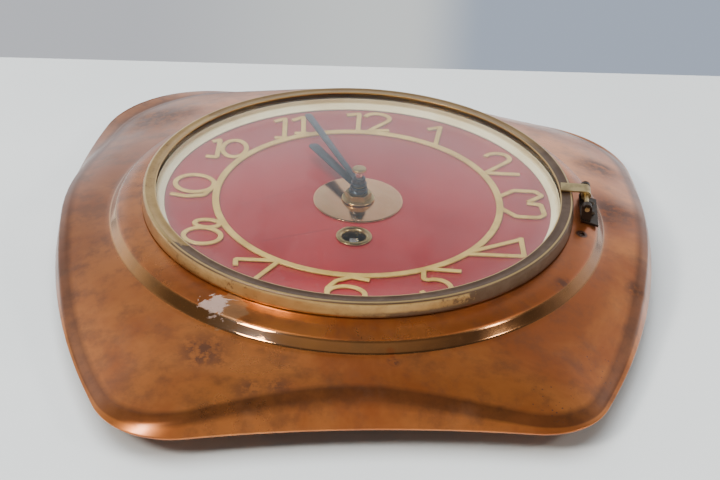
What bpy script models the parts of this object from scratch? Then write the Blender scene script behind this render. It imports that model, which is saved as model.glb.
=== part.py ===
"""Key-wound wall clock in a pressed copper case, lying on its back.

Lengths are in millimetres in the constants and become metres in place().
+Z points out of the dial, +Y to XII and +X to III; the table is z = 0.
"""
import math

import bmesh
import bpy
from mathutils import Matrix, Vector

MM = 0.001

# overall levels, height over the table
RIM_Z = 10.5
SHOULDER_Z = 32.6
DIAL_TOP_Z = 32.0
BEZEL_TOP_Z = 39.5
FRONT_PLATE_Z = 26.0
BACK_PLATE_Z = 4.4

# case shell: four corner points, the bow of each side and the length cut off at each corner
CORNER_BR = (94.0, -128.0)
CORNER_TR = (113.0, 110.0)
CORNER_TL = (-111.0, 132.0)
CORNER_BL = (-79.0, -151.0)
BOW_RIGHT = 21.5
BOW_TOP = 7.0
BOW_LEFT = 31.0
BOW_BOTTOM = -7.5
CUT_BR = 20.0
CUT_TR = 35.0
CUT_TL = 40.0
CUT_BL = 25.0
CREASE_Z_SIDE = 22.2
CREASE_Z_CORNER = 12.8
CREASE_INSET = (8.4, 3.5, 3.4, 3.1, 5.8, 9.0, 2.4, 2.6)
SHEET = 1.0
SHOULDER_R = 100.0
SHOULDER_FALL = 3.0
STEP_R = 103.2
STEP_Z = 25.0
SHELL_HOLE_R = 85.2

# bezel and glass: the pane fits inside the wall, under the lip and on the keeper ring
BEZEL_R = 90.2
BEZEL_WALL = 0.8
BEZEL_LIFT = 0.3
LIP_T = 0.7
GLASS_PLAY = 1.4
GLASS_LAP = 3.7
GLASS_GAP = 0.49
GLASS_SPHERE_R = 300.0
GLASS_T = 1.6
KEEPER_T = 1.0
KEEPER_LAP = 2.3
BEZEL_WALL_IN = BEZEL_R - BEZEL_WALL
GLASS_R = BEZEL_WALL_IN - GLASS_PLAY
BEZEL_LIP_R = GLASS_R - GLASS_LAP
LIP_RISE = GLASS_SPHERE_R - math.sqrt(GLASS_SPHERE_R**2 - BEZEL_LIP_R**2)
GLASS_APEX_Z = BEZEL_TOP_Z - LIP_T - GLASS_GAP + LIP_RISE

# hinge: the strap lies over the bezel's top and rolls into an eye about the pin
HINGE_PIN_R = 1.0
HINGE_FIT = 0.1
EYE_WALL = 1.0
STRAP_W = 6.5
STRAP_Y = 7.75
STRAP_T = 0.7
STRAP_REACH = 10.6
STRAP_SEAT = 0.3
HINGE_OUT = 5.0
HINGE_SCREW_X = 98.0
HINGE_SCREW_YS = (0.4, 8.4)
HINGE_SCREW_R = 1.0
EYE_R = HINGE_PIN_R + HINGE_FIT + EYE_WALL
HINGE_X = BEZEL_R + HINGE_OUT
HINGE_Z = BEZEL_TOP_Z + STRAP_SEAT + STRAP_T - EYE_R

# dial
DIAL_R = 81.2
DIAL_T = 0.8
CHAPTER_R_IN = 58.1
CHAPTER_W = 2.9
CHAPTER_T = 0.7
STROKE_W = 2.1
DISC_R = 18.8
DISC_T = 0.5
REHAUT_T = 0.6
NUT_T = 3.4
WIND_Y = -29.5
WIND_HOLE_R = 5.3
GROMMET_R = 7.4
GAP = 0.3

# hands
HOUR_LEN = 42.0
MINUTE_LEN = 64.0
HOUR_W = 4.6
MINUTE_W = 3.4
HOUR_DIAL_DEG = 328.0
MINUTE_DIAL_DEG = 336.0
PIPE_R = 1.5
HOUR_PIPE_R = 2.5
BUSH_BORE_R = 2.8
BUSH_R = 3.5

# movement: module, teeth and where each arbor stands
GREAT_TEETH, CENTRE_LEAVES = 50, 10
CENTRE_TEETH, THIRD_LEAVES = 48, 6
THIRD_TEETH, FOURTH_LEAVES = 45, 6
FOURTH_TEETH, ESCAPE_LEAVES = 45, 6
GREAT_MODULE = 2 * abs(WIND_Y) / (GREAT_TEETH + CENTRE_LEAVES)
CENTRE_MODULE = 0.66
THIRD_MODULE = 0.56
FOURTH_MODULE = 0.48
CANNON_LEAVES, MINUTE_TEETH = 8, 24
MINUTE_LEAVES, HOUR_TEETH = 6, 24
MOTION_SPAN = 10.0
CANNON_MODULE = 2 * MOTION_SPAN / (CANNON_LEAVES + MINUTE_TEETH)
HOUR_MODULE = 2 * MOTION_SPAN / (MINUTE_LEAVES + HOUR_TEETH)
THIRD_DEG = 140.0
FOURTH_DEG = 60.0
ESCAPE_DEG = -10.0
ESCAPE_TEETH = 15
ESCAPE_R = 7.0
LEVER_SPAN = 9.6
BALANCE_SPAN = 11.0
BALANCE_R = 8.5
RATCHET_TEETH = 24
RATCHET_R = 9.0
PLATE_T = 1.3
PILLAR_R = 2.6
PILLARS = ((-33.0, 33.0), (33.0, 36.0), (-32.0, -46.0), (32.0, -46.0))

SEG = 30
FINE = 48
SIDE_STEPS = 6
CORNER_STEPS = 5


# ---- materials ----
def material(name, colour, metallic, roughness):
    found = bpy.data.materials.get(name)
    if found:
        return found
    mat = bpy.data.materials.new(name)
    mat.use_nodes = True
    shader = mat.node_tree.nodes["Principled BSDF"]
    shader.inputs["Base Color"].default_value = (*colour, 1.0)
    shader.inputs["Metallic"].default_value = metallic
    shader.inputs["Roughness"].default_value = roughness
    mat.diffuse_color = (*colour, 1.0)
    return mat


COPPER = ((0.55, 0.22, 0.08), 1.0, 0.32)
BRASS = ((0.62, 0.44, 0.17), 1.0, 0.3)
GILT = ((0.66, 0.52, 0.30), 1.0, 0.45)
STEEL = ((0.42, 0.42, 0.42), 1.0, 0.3)
BLUED = ((0.05, 0.08, 0.12), 0.9, 0.3)
DARK = ((0.06, 0.05, 0.045), 0.9, 0.5)
RED = ((0.33, 0.03, 0.025), 0.0, 0.3)
GLASS = ((0.85, 0.9, 0.9), 0.0, 0.03)
ZINC = ((0.48, 0.47, 0.44), 0.8, 0.45)


# ---- mesh helpers ----
def place(name, bm, look, at=(0, 0, 0), smooth=40.0):
    """Makes a mesh in millimetres into a named object whose origin is at."""
    bmesh.ops.recalc_face_normals(bm, faces=bm.faces)
    bmesh.ops.scale(bm, vec=(MM, MM, MM), verts=bm.verts)
    data = bpy.data.meshes.new(name)
    bm.to_mesh(data)
    bm.free()
    obj = bpy.data.objects.new(name, data)
    bpy.context.collection.objects.link(obj)
    obj.location = Vector(at) * MM
    data.materials.append(material(name, *look))
    for face in data.polygons:
        face.use_smooth = bool(smooth)
    if smooth:
        data.set_sharp_from_angle(angle=math.radians(smooth))
    return obj


def ring_faces(bm, loops, closed):
    """Joins loops of equal length with quads; closed joins the last to the first."""
    pairs = list(zip(loops, loops[1:])) + ([(loops[-1], loops[0])] if closed else [])
    for a, b in pairs:
        n = max(len(a), len(b))
        for i in range(n):
            j = (i + 1) % n
            quad = [a[i % len(a)], a[j % len(a)], b[j % len(b)], b[i % len(b)]]
            face = list(dict.fromkeys(quad))
            if len(face) > 2:
                bm.faces.new(face)


def lathe(profile, segments=SEG, bm=None):
    """Turns a closed (radius, height) profile about Z; a radius of 0 makes a pole."""
    bm = bm or bmesh.new()
    loops = []
    for r, z in profile:
        if r < 1e-6:
            loops.append([bm.verts.new((0, 0, z))])
            continue
        turn = [math.tau * i / segments for i in range(segments)]
        loops.append([bm.verts.new((r * math.cos(a), r * math.sin(a), z)) for a in turn])
    solid = len(loops[0]) == 1 and len(loops[-1]) == 1
    ring_faces(bm, loops, not solid)
    return bm


def disc(r, z0, z1, bore=0.0):
    if bore:
        return [(bore, z0), (r, z0), (r, z1), (bore, z1)]
    return [(0, z0), (r, z0), (r, z1), (0, z1)]


def prism(outline, z0, z1, holes=(), bm=None):
    """A flat plate with straight sides from an outline and any number of holes."""
    bm = bm or bmesh.new()
    low = []
    for loop in (outline, *holes):
        verts = [bm.verts.new((x, y, z0)) for x, y in loop]
        low += [bm.edges.new((verts[i - 1], verts[i])) for i in range(len(verts))]
    made = bmesh.ops.triangle_fill(bm, use_beauty=True, edges=low)
    faces = [g for g in made["geom"] if isinstance(g, bmesh.types.BMFace)]
    up = bmesh.ops.extrude_face_region(bm, geom=faces, use_keep_orig=True)
    verts = [g for g in up["geom"] if isinstance(g, bmesh.types.BMVert)]
    bmesh.ops.translate(bm, vec=(0, 0, z1 - z0), verts=verts)
    return bm


def circle(r, x=0.0, y=0.0, n=24):
    turn = [math.tau * i / n for i in range(n)]
    return [(x + r * math.cos(a), y + r * math.sin(a)) for a in turn]


def round_bar(a, b, wa, wb=None, n=6):
    """A flat bar between two points with round ends of widths wa and wb."""
    wb = wb or wa
    heading = math.atan2(b[1] - a[1], b[0] - a[0])
    out = []
    for (x, y), w, start in ((b, wb, -math.pi / 2), (a, wa, math.pi / 2)):
        for i in range(n + 1):
            t = heading + start + math.pi * i / n
            out.append((x + w / 2 * math.cos(t), y + w / 2 * math.sin(t)))
    return out


def arc(cx, cy, rx, ry, start, end, n=10):
    turn = [math.radians(start + (end - start) * i / n) for i in range(n + 1)]
    return [(cx + rx * math.cos(a), cy + ry * math.sin(a)) for a in turn]


def helper(obj):
    obj.hide_render = True
    obj.display_type = "WIRE"
    return obj


def boolean(target, tool, operation):
    helper(tool)
    mod = target.modifiers.new(operation.lower(), "BOOLEAN")
    mod.operation = operation
    mod.solver = "EXACT"
    mod.object = tool
    return target


def fuse(target, tools):
    for n, bm in enumerate(tools):
        tool = place(f"{target.name}_add_{n}", bm, DARK, target.location / MM)
        boolean(target, tool, "UNION")
    return target


def cut(target, tools):
    for n, bm in enumerate(tools):
        tool = place(f"{target.name}_cut_{n}", bm, DARK, target.location / MM)
        boolean(target, tool, "DIFFERENCE")
    return target


def gear(teeth, module, turn=0.0, slim=0.46, add=0.8, ded=1.1):
    """Outline of a toothed wheel with slim tapered teeth; turn is in tooth pitches."""
    pitch_r = teeth * module / 2
    step = math.tau / teeth
    out = []
    marks = ((-0.58, -ded), (-0.2, add), (0.2, add), (0.58, -ded))
    for k in range(teeth):
        for across, up in marks:
            a = (k + turn) * step + slim * step * across
            r = pitch_r + up * module
            out.append((r * math.cos(a), r * math.sin(a)))
    return out


def meshed(teeth, other_teeth, bearing, other_turn=0.0):
    """Turn, in pitches, that puts a gap of this wheel on the other's tooth along the bearing."""
    facing = (bearing / math.tau * other_teeth - other_turn) % 1.0
    back = (bearing + math.pi) / math.tau * teeth
    return back + facing - 0.5


def windows(r_in, r_out, count, bar):
    """Holes between the spokes of a wheel."""
    out = []
    for k in range(count):
        a0 = math.tau * k / count
        outer = [a0 + bar / r_out, a0 + math.tau / count - bar / r_out]
        inner = [a0 + bar / r_in, a0 + math.tau / count - bar / r_in]
        steps = [i / 3 for i in range(4)]
        loop = [(r_out, outer[0] + (outer[1] - outer[0]) * s) for s in steps]
        loop += [(r_in, inner[1] + (inner[0] - inner[1]) * s) for s in (0, 1)]
        out.append([(r * math.cos(a), r * math.sin(a)) for r, a in loop])
    return out


def polar(x, y, length, degrees):
    a = math.radians(degrees)
    return (x + length * math.cos(a), y + length * math.sin(a))


for old in list(bpy.data.objects):
    bpy.data.objects.remove(old, do_unlink=True)


# ---- case shell: drawn copper sheet with a freehand square outline and a folded rim ----
def side_point(a, b, bow, t):
    a, b = Vector(a), Vector(b)
    along = b - a
    out = Vector((along.y, -along.x)).normalized()
    point = a + along * t + out * (4 * bow * t * (1 - t))
    heading = (along + out * (4 * bow * (1 - 2 * t))).normalized()
    return point, heading


def shell_outline():
    corners = (CORNER_BR, CORNER_TR, CORNER_TL, CORNER_BL)
    bows = (BOW_RIGHT, BOW_TOP, BOW_LEFT, BOW_BOTTOM)
    cuts = (CUT_BR, CUT_TR, CUT_TL, CUT_BL)
    out = []
    for i in range(4):
        a, b, c = corners[i], corners[(i + 1) % 4], corners[(i + 2) % 4]
        first = cuts[i] / (Vector(b) - Vector(a)).length
        last = 1 - cuts[(i + 1) % 4] / (Vector(b) - Vector(a)).length
        resume = cuts[(i + 1) % 4] / (Vector(c) - Vector(b)).length
        for k in range(SIDE_STEPS):
            share = k / SIDE_STEPS
            out.append(side_point(a, b, bows[i], first + (last - first) * share)[0])
        p, p_dir = side_point(a, b, bows[i], last)
        q, q_dir = side_point(b, c, bows[(i + 1) % 4], resume)
        reach = 0.385 * (q - p).length
        for k in range(CORNER_STEPS):
            t = k / CORNER_STEPS
            out.append(
                p * (1 - t) ** 3
                + (p + p_dir * reach) * 3 * (1 - t) ** 2 * t
                + (q - q_dir * reach) * 3 * (1 - t) * t * t
                + q * t**3
            )
    return out


def around(values, angle):
    """Eased value at an angle from eight stations, the first at 6 o'clock."""
    place_at = (angle + math.pi / 2) % math.tau / (math.tau / 8)
    k = int(place_at)
    t = (1 - math.cos(math.pi * (place_at - k))) / 2
    return values[k % 8] * (1 - t) + values[(k + 1) % 8] * t


def shell_rings():
    """Outer surface from the dial hole to the rim, as loops of points."""
    outline = shell_outline()
    angles = [math.atan2(p.y, p.x) for p in outline]
    heights = (CREASE_Z_SIDE, CREASE_Z_CORNER) * 4
    rings = []
    seat_r = BEZEL_R + BEZEL_LIFT
    turned = ((SHELL_HOLE_R, SHOULDER_Z), (seat_r, SHOULDER_Z), (SHOULDER_R, SHOULDER_Z - SHOULDER_FALL))
    for r, z in turned + ((SHOULDER_R + 1.8, STEP_Z + 3.0), (STEP_R + 0.8, STEP_Z)):
        rings.append([(r * math.cos(a), r * math.sin(a), z) for a in angles])
    shares = ((0.14, 0.05), (0.55, 0.48), (0.96, 0.97), (1.0, 1.06))
    for out_share, down_share in shares:
        ring = []
        for p, a in zip(outline, angles):
            edge = p.length - around(CREASE_INSET, a)
            start = STEP_R + 0.8
            r = start + (edge - start) * out_share
            z = STEP_Z + (around(heights, a) - STEP_Z) * down_share
            ring.append((r * math.cos(a), r * math.sin(a), z))
        rings.append(ring)
    rings.append([(p.x, p.y, RIM_Z) for p in outline])
    return rings


def shell():
    bm = bmesh.new()
    outer = shell_rings()
    n = len(outer[0])
    offset = []
    for k, ring in enumerate(outer):
        before, after = outer[max(k - 1, 0)], outer[min(k + 1, len(outer) - 1)]
        moved = []
        for i in range(n):
            radial = math.hypot(after[i][0], after[i][1]) - math.hypot(before[i][0], before[i][1])
            drop = after[i][2] - before[i][2]
            size = math.hypot(radial, drop) or 1.0
            r = math.hypot(ring[i][0], ring[i][1])
            new_r = r + drop / size * SHEET
            new_z = ring[i][2] - radial / size * SHEET
            if k == 0:
                new_r, new_z = r, ring[i][2] - SHEET
            if k == len(outer) - 1:
                new_r, new_z = r - SHEET, ring[i][2]
            moved.append((ring[i][0] / r * new_r, ring[i][1] / r * new_r, new_z))
        offset.append(moved)
    loops = [[bm.verts.new(p) for p in ring] for ring in outer + offset[::-1]]
    ring_faces(bm, loops, True)
    return bm


case_shell = place("case_shell", shell(), COPPER, smooth=50.0)
drill = lathe(disc(1.5, 24.0, 36.0), 16)
bmesh.ops.translate(drill, vec=(93.2, -15.6, 0), verts=drill.verts)
bracket_holes = []
for y in HINGE_SCREW_YS:
    hole = lathe(disc(HINGE_SCREW_R, 24.0, 36.0), 12)
    bmesh.ops.translate(hole, vec=(HINGE_SCREW_X, y, 0), verts=hole.verts)
    bracket_holes.append(hole)
cut(case_shell, [drill, *bracket_holes])

# ---- back cover: drawn steel can that shuts the back and takes the clock's weight ----
CAN_R = 82.0
CAN_TOP = 29.4
CAN_T = 0.8
LUG_OUT = 3.6
LUG_HOLE_R = 1.4
COVER_SCREW_R = 1.1
LUG_DEG = (30.0, 150.0, 270.0)
can_profile = [(0, 0), (CAN_R - 2, 0), (CAN_R - 0.6, 0.6), (CAN_R, 2), (CAN_R, CAN_TOP)]
can_profile += [(CAN_R - CAN_T, CAN_TOP), (CAN_R - CAN_T, 2.2), (CAN_R - 2, CAN_T), (0, CAN_T)]
back_cover = place("back_cover", lathe(can_profile, 40), ZINC)
lugs = []
cover_holes = [prism(circle(2.2, 46.0, 12.0, 12), -1, 2)]
for deg in LUG_DEG:
    tab = [(CAN_R - 0.5, -4.5)] + arc(CAN_R + 3.0, 0, 4.2, 4.5, -90, 90, 4) + [(CAN_R - 0.5, 4.5)]
    tab = [polar(0, 0, math.hypot(x, y), deg + math.degrees(math.atan2(y, x))) for x, y in tab]
    lugs.append(prism(tab, CAN_TOP - 1.4, CAN_TOP - 0.4))
    x, y = polar(0, 0, CAN_R + LUG_OUT, deg)
    cover_holes.append(prism(circle(LUG_HOLE_R, x, y, 12), CAN_TOP - 3, CAN_TOP + 1))
fuse(back_cover, lugs)
cut(back_cover, cover_holes)
for n, deg in enumerate(LUG_DEG):
    x, y = polar(0, 0, CAN_R + LUG_OUT, deg)
    head_z = CAN_TOP - 1.7
    screw = [(0, head_z - 1.4), (2.2, head_z - 1.4), (2.4, head_z - 1.0), (2.4, head_z)]
    screw += [(COVER_SCREW_R, head_z), (COVER_SCREW_R, CAN_TOP + 0.5), (0, CAN_TOP + 0.5)]
    place(f"cover_screw_{n + 1}", lathe(screw, 10), STEEL, (x, y, 0))

# ---- hanger plate: steel strip with a keyhole, riveted inside the top of the shell ----
HANGER_Y = 102.0
HANGER_T = 1.5
STUD_X = 17.0
STUD_NECK_R = 1.3
KEYHOLE_R = 4.0
KEYHOLE_SLOT = 2.0
keyhole = []
for i in range(19):
    a = math.radians(120 + 300 * i / 18)
    keyhole.append((KEYHOLE_R * math.cos(a), HANGER_Y - 3 + KEYHOLE_R * math.sin(a)))
top = HANGER_Y + 5.0
keyhole += [(KEYHOLE_SLOT, top), (1.2, top + 1.4), (-1.2, top + 1.4), (-KEYHOLE_SLOT, top)]
strip = [(-22, HANGER_Y - 9), (22, HANGER_Y - 9), (24, HANGER_Y - 6), (24, HANGER_Y + 8)]
strip += [(22, HANGER_Y + 10), (-22, HANGER_Y + 10), (-24, HANGER_Y + 8), (-24, HANGER_Y - 6)]
rivet_holes = [circle(STUD_NECK_R + GAP, x, HANGER_Y, 12) for x in (-STUD_X, STUD_X)]
hanger_top = RIM_Z + HANGER_T
place("hanger_plate", prism(strip, RIM_Z, hanger_top, [keyhole, *rivet_holes]), ZINC)
for n, x in enumerate((-STUD_X, STUD_X)):
    stud = [(0, RIM_Z - 1.9), (1.4, RIM_Z - 1.7), (2.6, RIM_Z - 0.9), (2.6, RIM_Z - GAP)]
    stud += [(STUD_NECK_R, RIM_Z - GAP), (STUD_NECK_R, hanger_top + GAP), (3.0, hanger_top + GAP)]
    stud += [(3.0, STEP_Z - 5.6), (0, STEP_Z - 5.6)]
    place(f"hanger_stud_{n + 1}", lathe(stud, 10), STEEL, (x, HANGER_Y, 0))

# ---- dial: pan, painted plate, stamped numeral ring, polished disc, eyelet and nut ----
DIAL_FACE_Z = DIAL_TOP_Z + GAP
PAN_T = 0.7
EYELET_WALL = 1.0
pan_high = DIAL_TOP_Z - DIAL_T - GAP
pan_profile = [(72, pan_high - PAN_T), (SHELL_HOLE_R + 3.3, pan_high - PAN_T)]
pan_profile += [(SHELL_HOLE_R + 3.3, pan_high), (72, pan_high)]
place("dial_pan", lathe(pan_profile, 36), ZINC)
wind_hole = circle(WIND_HOLE_R + 0.4 + GAP, 0, WIND_Y, 20)
dial_bore = circle(BUSH_R + GAP, 0, 0, 20)
dial_outline = circle(DIAL_R, n=48)
dial_low, dial_high = DIAL_TOP_Z - DIAL_T, DIAL_TOP_Z
place("dial_plate", prism(dial_outline, dial_low, dial_high, [dial_bore, wind_hole]), RED)
place("centre_disc", lathe(disc(DISC_R, DIAL_FACE_Z, DIAL_FACE_Z + DISC_T, BUSH_R + GAP)), COPPER)
neck_r = WIND_HOLE_R + 0.4
bore_r = neck_r - EYELET_WALL
eyelet_low = DIAL_FACE_Z - 1.7
eyelet = [(bore_r, eyelet_low), (neck_r, eyelet_low), (neck_r, DIAL_FACE_Z), (GROMMET_R, DIAL_FACE_Z)]
eyelet += [(GROMMET_R, DIAL_FACE_Z + 0.4), (GROMMET_R - 0.8, DIAL_FACE_Z + 0.8)]
eyelet += [(WIND_HOLE_R + 0.2, DIAL_FACE_Z + 0.7), (bore_r, DIAL_FACE_Z - 0.1)]
place("winding_eyelet", lathe(eyelet, 20), BRASS, (0, WIND_Y, 0))
rehaut_out, rehaut_top = BEZEL_LIP_R + GAP, BEZEL_TOP_Z - 3.3
rehaut = [(DIAL_R - 0.4, DIAL_FACE_Z), (DIAL_R + 0.2, DIAL_FACE_Z), (rehaut_out, DIAL_FACE_Z + 1.7)]
rehaut += [(rehaut_out, rehaut_top), (rehaut_out - REHAUT_T, rehaut_top)]
rehaut += [(rehaut_out - REHAUT_T, DIAL_FACE_Z + 2.0), (DIAL_R - 0.4, DIAL_FACE_Z + 0.45)]
place("rehaut_ring", lathe(rehaut, 40), GILT)
nut_low = DIAL_FACE_Z + DISC_T + GAP
nut_high = nut_low + NUT_T
bush = [(BUSH_BORE_R, pan_high - 1.0), (8.0, pan_high - 1.0), (8.0, pan_high), (BUSH_R, pan_high)]
bush += [(BUSH_R, nut_high + 0.2), (BUSH_BORE_R, nut_high + 0.2)]
place("dial_bushing", lathe(bush, 18), BRASS)
hexagon = circle(5.6, n=6)
nut = place("dial_nut", lathe(disc(6.9, nut_low, nut_low + 1.0, BUSH_R + GAP), 20), BRASS)
fuse(nut, [prism(hexagon, nut_low + 0.5, nut_high, [circle(BUSH_R + GAP, n=20)])])


# ---- numerals: strokes of one width, all joined to the ring they stand on ----
NUMERAL_STROKES = [
    [(-9.2, 74.6), (-3.6, 76.4), (-3.4, 60.0)],
    arc(4.6, 73.0, 5.6, 4.6, 165, -20, 6) + [(1.6, 61.2), (10.4, 62.4)],
    [(27.6, 65.6), (33.2, 68.4), (31.2, 50.4)],
    arc(58.6, 42.6, 5.4, 4.6, 165, -20, 6) + [(53.4, 29.2), (68.2, 29.6)],
    [(59.6, 9.8), (65.4, 15.4), (74.6, 15.6), (77.4, 12.2), (71.4, 6.4)],
    [(71.0, 5.4), (76.8, 4.6), (78.2, -3.6), (75.6, -6.0), (66.4, -6.2), (59.4, 0.6)],
    [(46.2, -38.2), (69.2, -37.4), (68.0, -23.4)],
    [(68.4, -24.2), (47.4, -36.4)],
    [(44.0, -51.6), (29.0, -51.4), (29.2, -58.8)] + arc(34.0, -64.9, 6.2, 6.2, 118, -150, 8),
    [(8.0, -62.4), (1.0, -60.8), (-5.0, -64.2), (-8.0, -69.6), (-8.2, -73.0)],
    arc(-0.6, -73.4, 7.4, 5.6, 0, 360, 14),
    [(-45.4, -57.6), (-45.8, -52.8), (-28.4, -52.0), (-36.2, -65.6), (-38.8, -70.6)],
    arc(-60.3, -26.9, 5.1, 3.0, 0, 360, 12),
    arc(-61.2, -36.6, 7.6, 6.2, 0, 360, 14),
    arc(-69.4, 5.2, 8.2, 7.2, 0, 360, 14),
    [(-61.4, 2.4), (-64.4, -4.2), (-71.6, -6.0), (-78.4, -4.6)],
    [(-66.2, 42.4), (-63.0, 44.4), (-62.8, 28.8), (-67.6, 29.2)],
    arc(-56.0, 37.4, 5.2, 7.4, 0, 360, 14),
    [(-41.0, 64.4), (-36.4, 67.6), (-35.2, 47.8)],
    [(-39.6, 49.6), (-34.0, 49.6)],
    [(-33.2, 66.4), (-28.4, 70.2), (-27.2, 53.8)],
    [(-31.2, 54.6), (-25.0, 55.2)],
]


def band(bm, path, width, z0, z1):
    """A flat strip of even width along a path, closed if the ends meet."""
    closed = (Vector(path[0]) - Vector(path[-1])).length < 0.1
    path = [Vector(p) for p in (path[:-1] if closed else path)]
    n = len(path)
    left, right = [], []
    for i, p in enumerate(path):
        before = path[i - 1] if closed or i else None
        after = path[(i + 1) % n] if closed or i < n - 1 else None
        d1 = (p - before).normalized() if before is not None else (after - p).normalized()
        d2 = (after - p).normalized() if after is not None else d1
        mid = Vector((-(d1.y + d2.y), d1.x + d2.x)).normalized()
        reach = width / 2 / max(mid.dot(Vector((-d1.y, d1.x))), 0.55)
        left.append(p + mid * reach)
        right.append(p - mid * reach)
    rings = []
    for i in range(n):
        points = ((left[i], z0), (right[i], z0), (right[i], z1), (left[i], z1))
        rings.append([bm.verts.new((q.x, q.y, z)) for q, z in points])
    ring_faces(bm, rings, closed)
    if not closed:
        bm.faces.new(rings[0][::-1])
        bm.faces.new(rings[-1])


chapter_low, chapter_high = DIAL_FACE_Z, DIAL_FACE_Z + CHAPTER_T
ring = lathe(disc(CHAPTER_R_IN + CHAPTER_W, chapter_low, chapter_high, CHAPTER_R_IN), 48)
chapter_ring = place("chapter_ring", ring, GILT)
strokes = []
for n, path in enumerate(NUMERAL_STROKES):
    bm = bmesh.new()
    step = 0.04 * (1 + n % 3)
    band(bm, path, STROKE_W, chapter_low + step, chapter_high - step)
    strokes.append(bm)
fuse(chapter_ring, strokes)

# ---- bezel: spun brass ring, domed glass, retaining ring and hinge strap; turns on the hinge ----
hinge_at = (HINGE_X, 0.0, HINGE_Z)
foot_z = SHOULDER_Z + BEZEL_LIFT
bezel = [(BEZEL_R, foot_z), (BEZEL_R - 0.5, BEZEL_TOP_Z - 0.9), (BEZEL_R - 1.3, BEZEL_TOP_Z)]
bezel += [(BEZEL_LIP_R, BEZEL_TOP_Z), (BEZEL_LIP_R, BEZEL_TOP_Z - LIP_T)]
bezel += [(BEZEL_WALL_IN - 1.0, BEZEL_TOP_Z - LIP_T - 0.1), (BEZEL_WALL_IN - 0.5, BEZEL_TOP_Z - 1.5)]
bezel.append((BEZEL_WALL_IN, foot_z))


def on_hinge(bm):
    bmesh.ops.translate(bm, vec=(-HINGE_X, 0, -HINGE_Z), verts=bm.verts)
    return bm


place("bezel_ring", on_hinge(lathe(bezel, FINE)), BRASS, hinge_at)


def dome(r, drop=0.0):
    sphere = GLASS_SPHERE_R - drop
    return GLASS_APEX_Z - drop - (sphere - math.sqrt(sphere * sphere - r * r))


steps = [GLASS_R * share for share in (0, 0.41, 0.73, 0.955, 1.0)]
pane = [(r, dome(r, GLASS_T)) for r in steps] + [(r, dome(r)) for r in steps[::-1]]
place("bezel_glass", on_hinge(lathe(pane, 40)), GLASS, hinge_at)
keeper_in, keeper_out = GLASS_R - KEEPER_LAP, GLASS_R + 0.5
keeper_high = dome(GLASS_R, GLASS_T) - 0.5
keeper = [(keeper_in, keeper_high - KEEPER_T), (keeper_out, keeper_high - KEEPER_T)]
keeper += [(keeper_out, keeper_high), (keeper_in, keeper_high + 0.4)]
place("glass_retainer", on_hinge(lathe(keeper, 32)), BRASS, hinge_at)


def slab(outline, y0, y1):
    """A flat piece drawn in x and z, with its thickness along Y."""
    bm = prism(outline, 0, y1 - y0)
    bmesh.ops.transform(bm, matrix=Matrix.Rotation(math.pi / 2, 4, "X"), verts=bm.verts)
    bmesh.ops.translate(bm, vec=(0, y1, 0), verts=bm.verts)
    return bm


leaf = [(-STRAP_REACH, EYE_R - STRAP_T), (0.0, EYE_R - STRAP_T), (0.0, EYE_R), (-STRAP_REACH, EYE_R)]
low_y, high_y = STRAP_Y - STRAP_W / 2, STRAP_Y + STRAP_W / 2
strap = place("hinge_strap", slab(leaf, low_y, high_y), BRASS, hinge_at)
eye_ring = slab(circle(EYE_R, n=24), low_y, high_y)
fuse(strap, [eye_ring])
bore = slab(circle(HINGE_PIN_R + HINGE_FIT, n=24), low_y - 1, high_y + 1)
cut(strap, [bore])

# ---- hinge bracket on the shell, its pin and its two screws ----
BRACKET_TILT = 17.5


def ear(y0, y1):
    outline = [(-1.9, -5.4), (1.9, -6.8), (EYE_R, 0.0)]
    turn = [math.radians(22.5 * i) for i in range(1, 8)]
    outline += [(EYE_R * math.cos(a), EYE_R * math.sin(a)) for a in turn]
    outline += [(-EYE_R, 0.0)]
    return slab(outline, y0, y1)


foot = prism([(-2.2, -7.0), (5.4, -7.0), (5.4, 14.6), (-2.2, 14.6)], -6.7, -5.7)
for v in foot.verts:
    v.co.z -= (v.co.x + 2.2) * math.tan(math.radians(BRACKET_TILT)) - 0.95
bracket = place("hinge_bracket", foot, DARK, hinge_at)
fuse(bracket, [ear(-6.4, -3.6), ear(high_y + 0.6, high_y + 2.6)])
cut(bracket, [slab(circle(HINGE_PIN_R + HINGE_FIT, n=24), -8, 16)])
for n, y in enumerate(HINGE_SCREW_YS):
    hole = lathe(disc(HINGE_SCREW_R, -12, 2), 12)
    bmesh.ops.translate(hole, vec=(HINGE_SCREW_X - HINGE_X, y, 0), verts=hole.verts)
    boolean(bracket, place(f"hinge_bracket_bore_{n}", hole, DARK, hinge_at), "DIFFERENCE")
    shank_r, head_z = HINGE_SCREW_R - GAP, SHOULDER_Z + 0.1
    screw = [(0, head_z - 5.1), (shank_r, head_z - 5.1), (shank_r, head_z), (shank_r + 0.8, head_z)]
    screw += [(shank_r + 0.6, head_z + 0.7), (0, head_z + 0.9)]
    place(f"hinge_screw_{n + 1}", lathe(screw, 10), DARK, (HINGE_SCREW_X, y, 0))
place("hinge_pin", slab(circle(HINGE_PIN_R, n=24), -7.2, 14.4), BRASS, hinge_at)


# ---- hands: blued steel batons riveted to their collets ----
def dial_angle(degrees):
    return 90.0 - degrees


def hand(name, length, width, degrees, blade_z, collet, bore_r):
    tip = polar(0, 0, length - width / 2, dial_angle(degrees))
    root = polar(0, 0, 1.0, dial_angle(degrees))
    blade = prism(round_bar(root, tip, width * 0.72, width), blade_z, blade_z + 0.5)
    obj = place(name, blade, BLUED)
    fuse(obj, [lathe(collet, 20)])
    cut(obj, [lathe(disc(bore_r, collet[0][1] - 2, blade_z + 6), 20)])
    return obj


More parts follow.
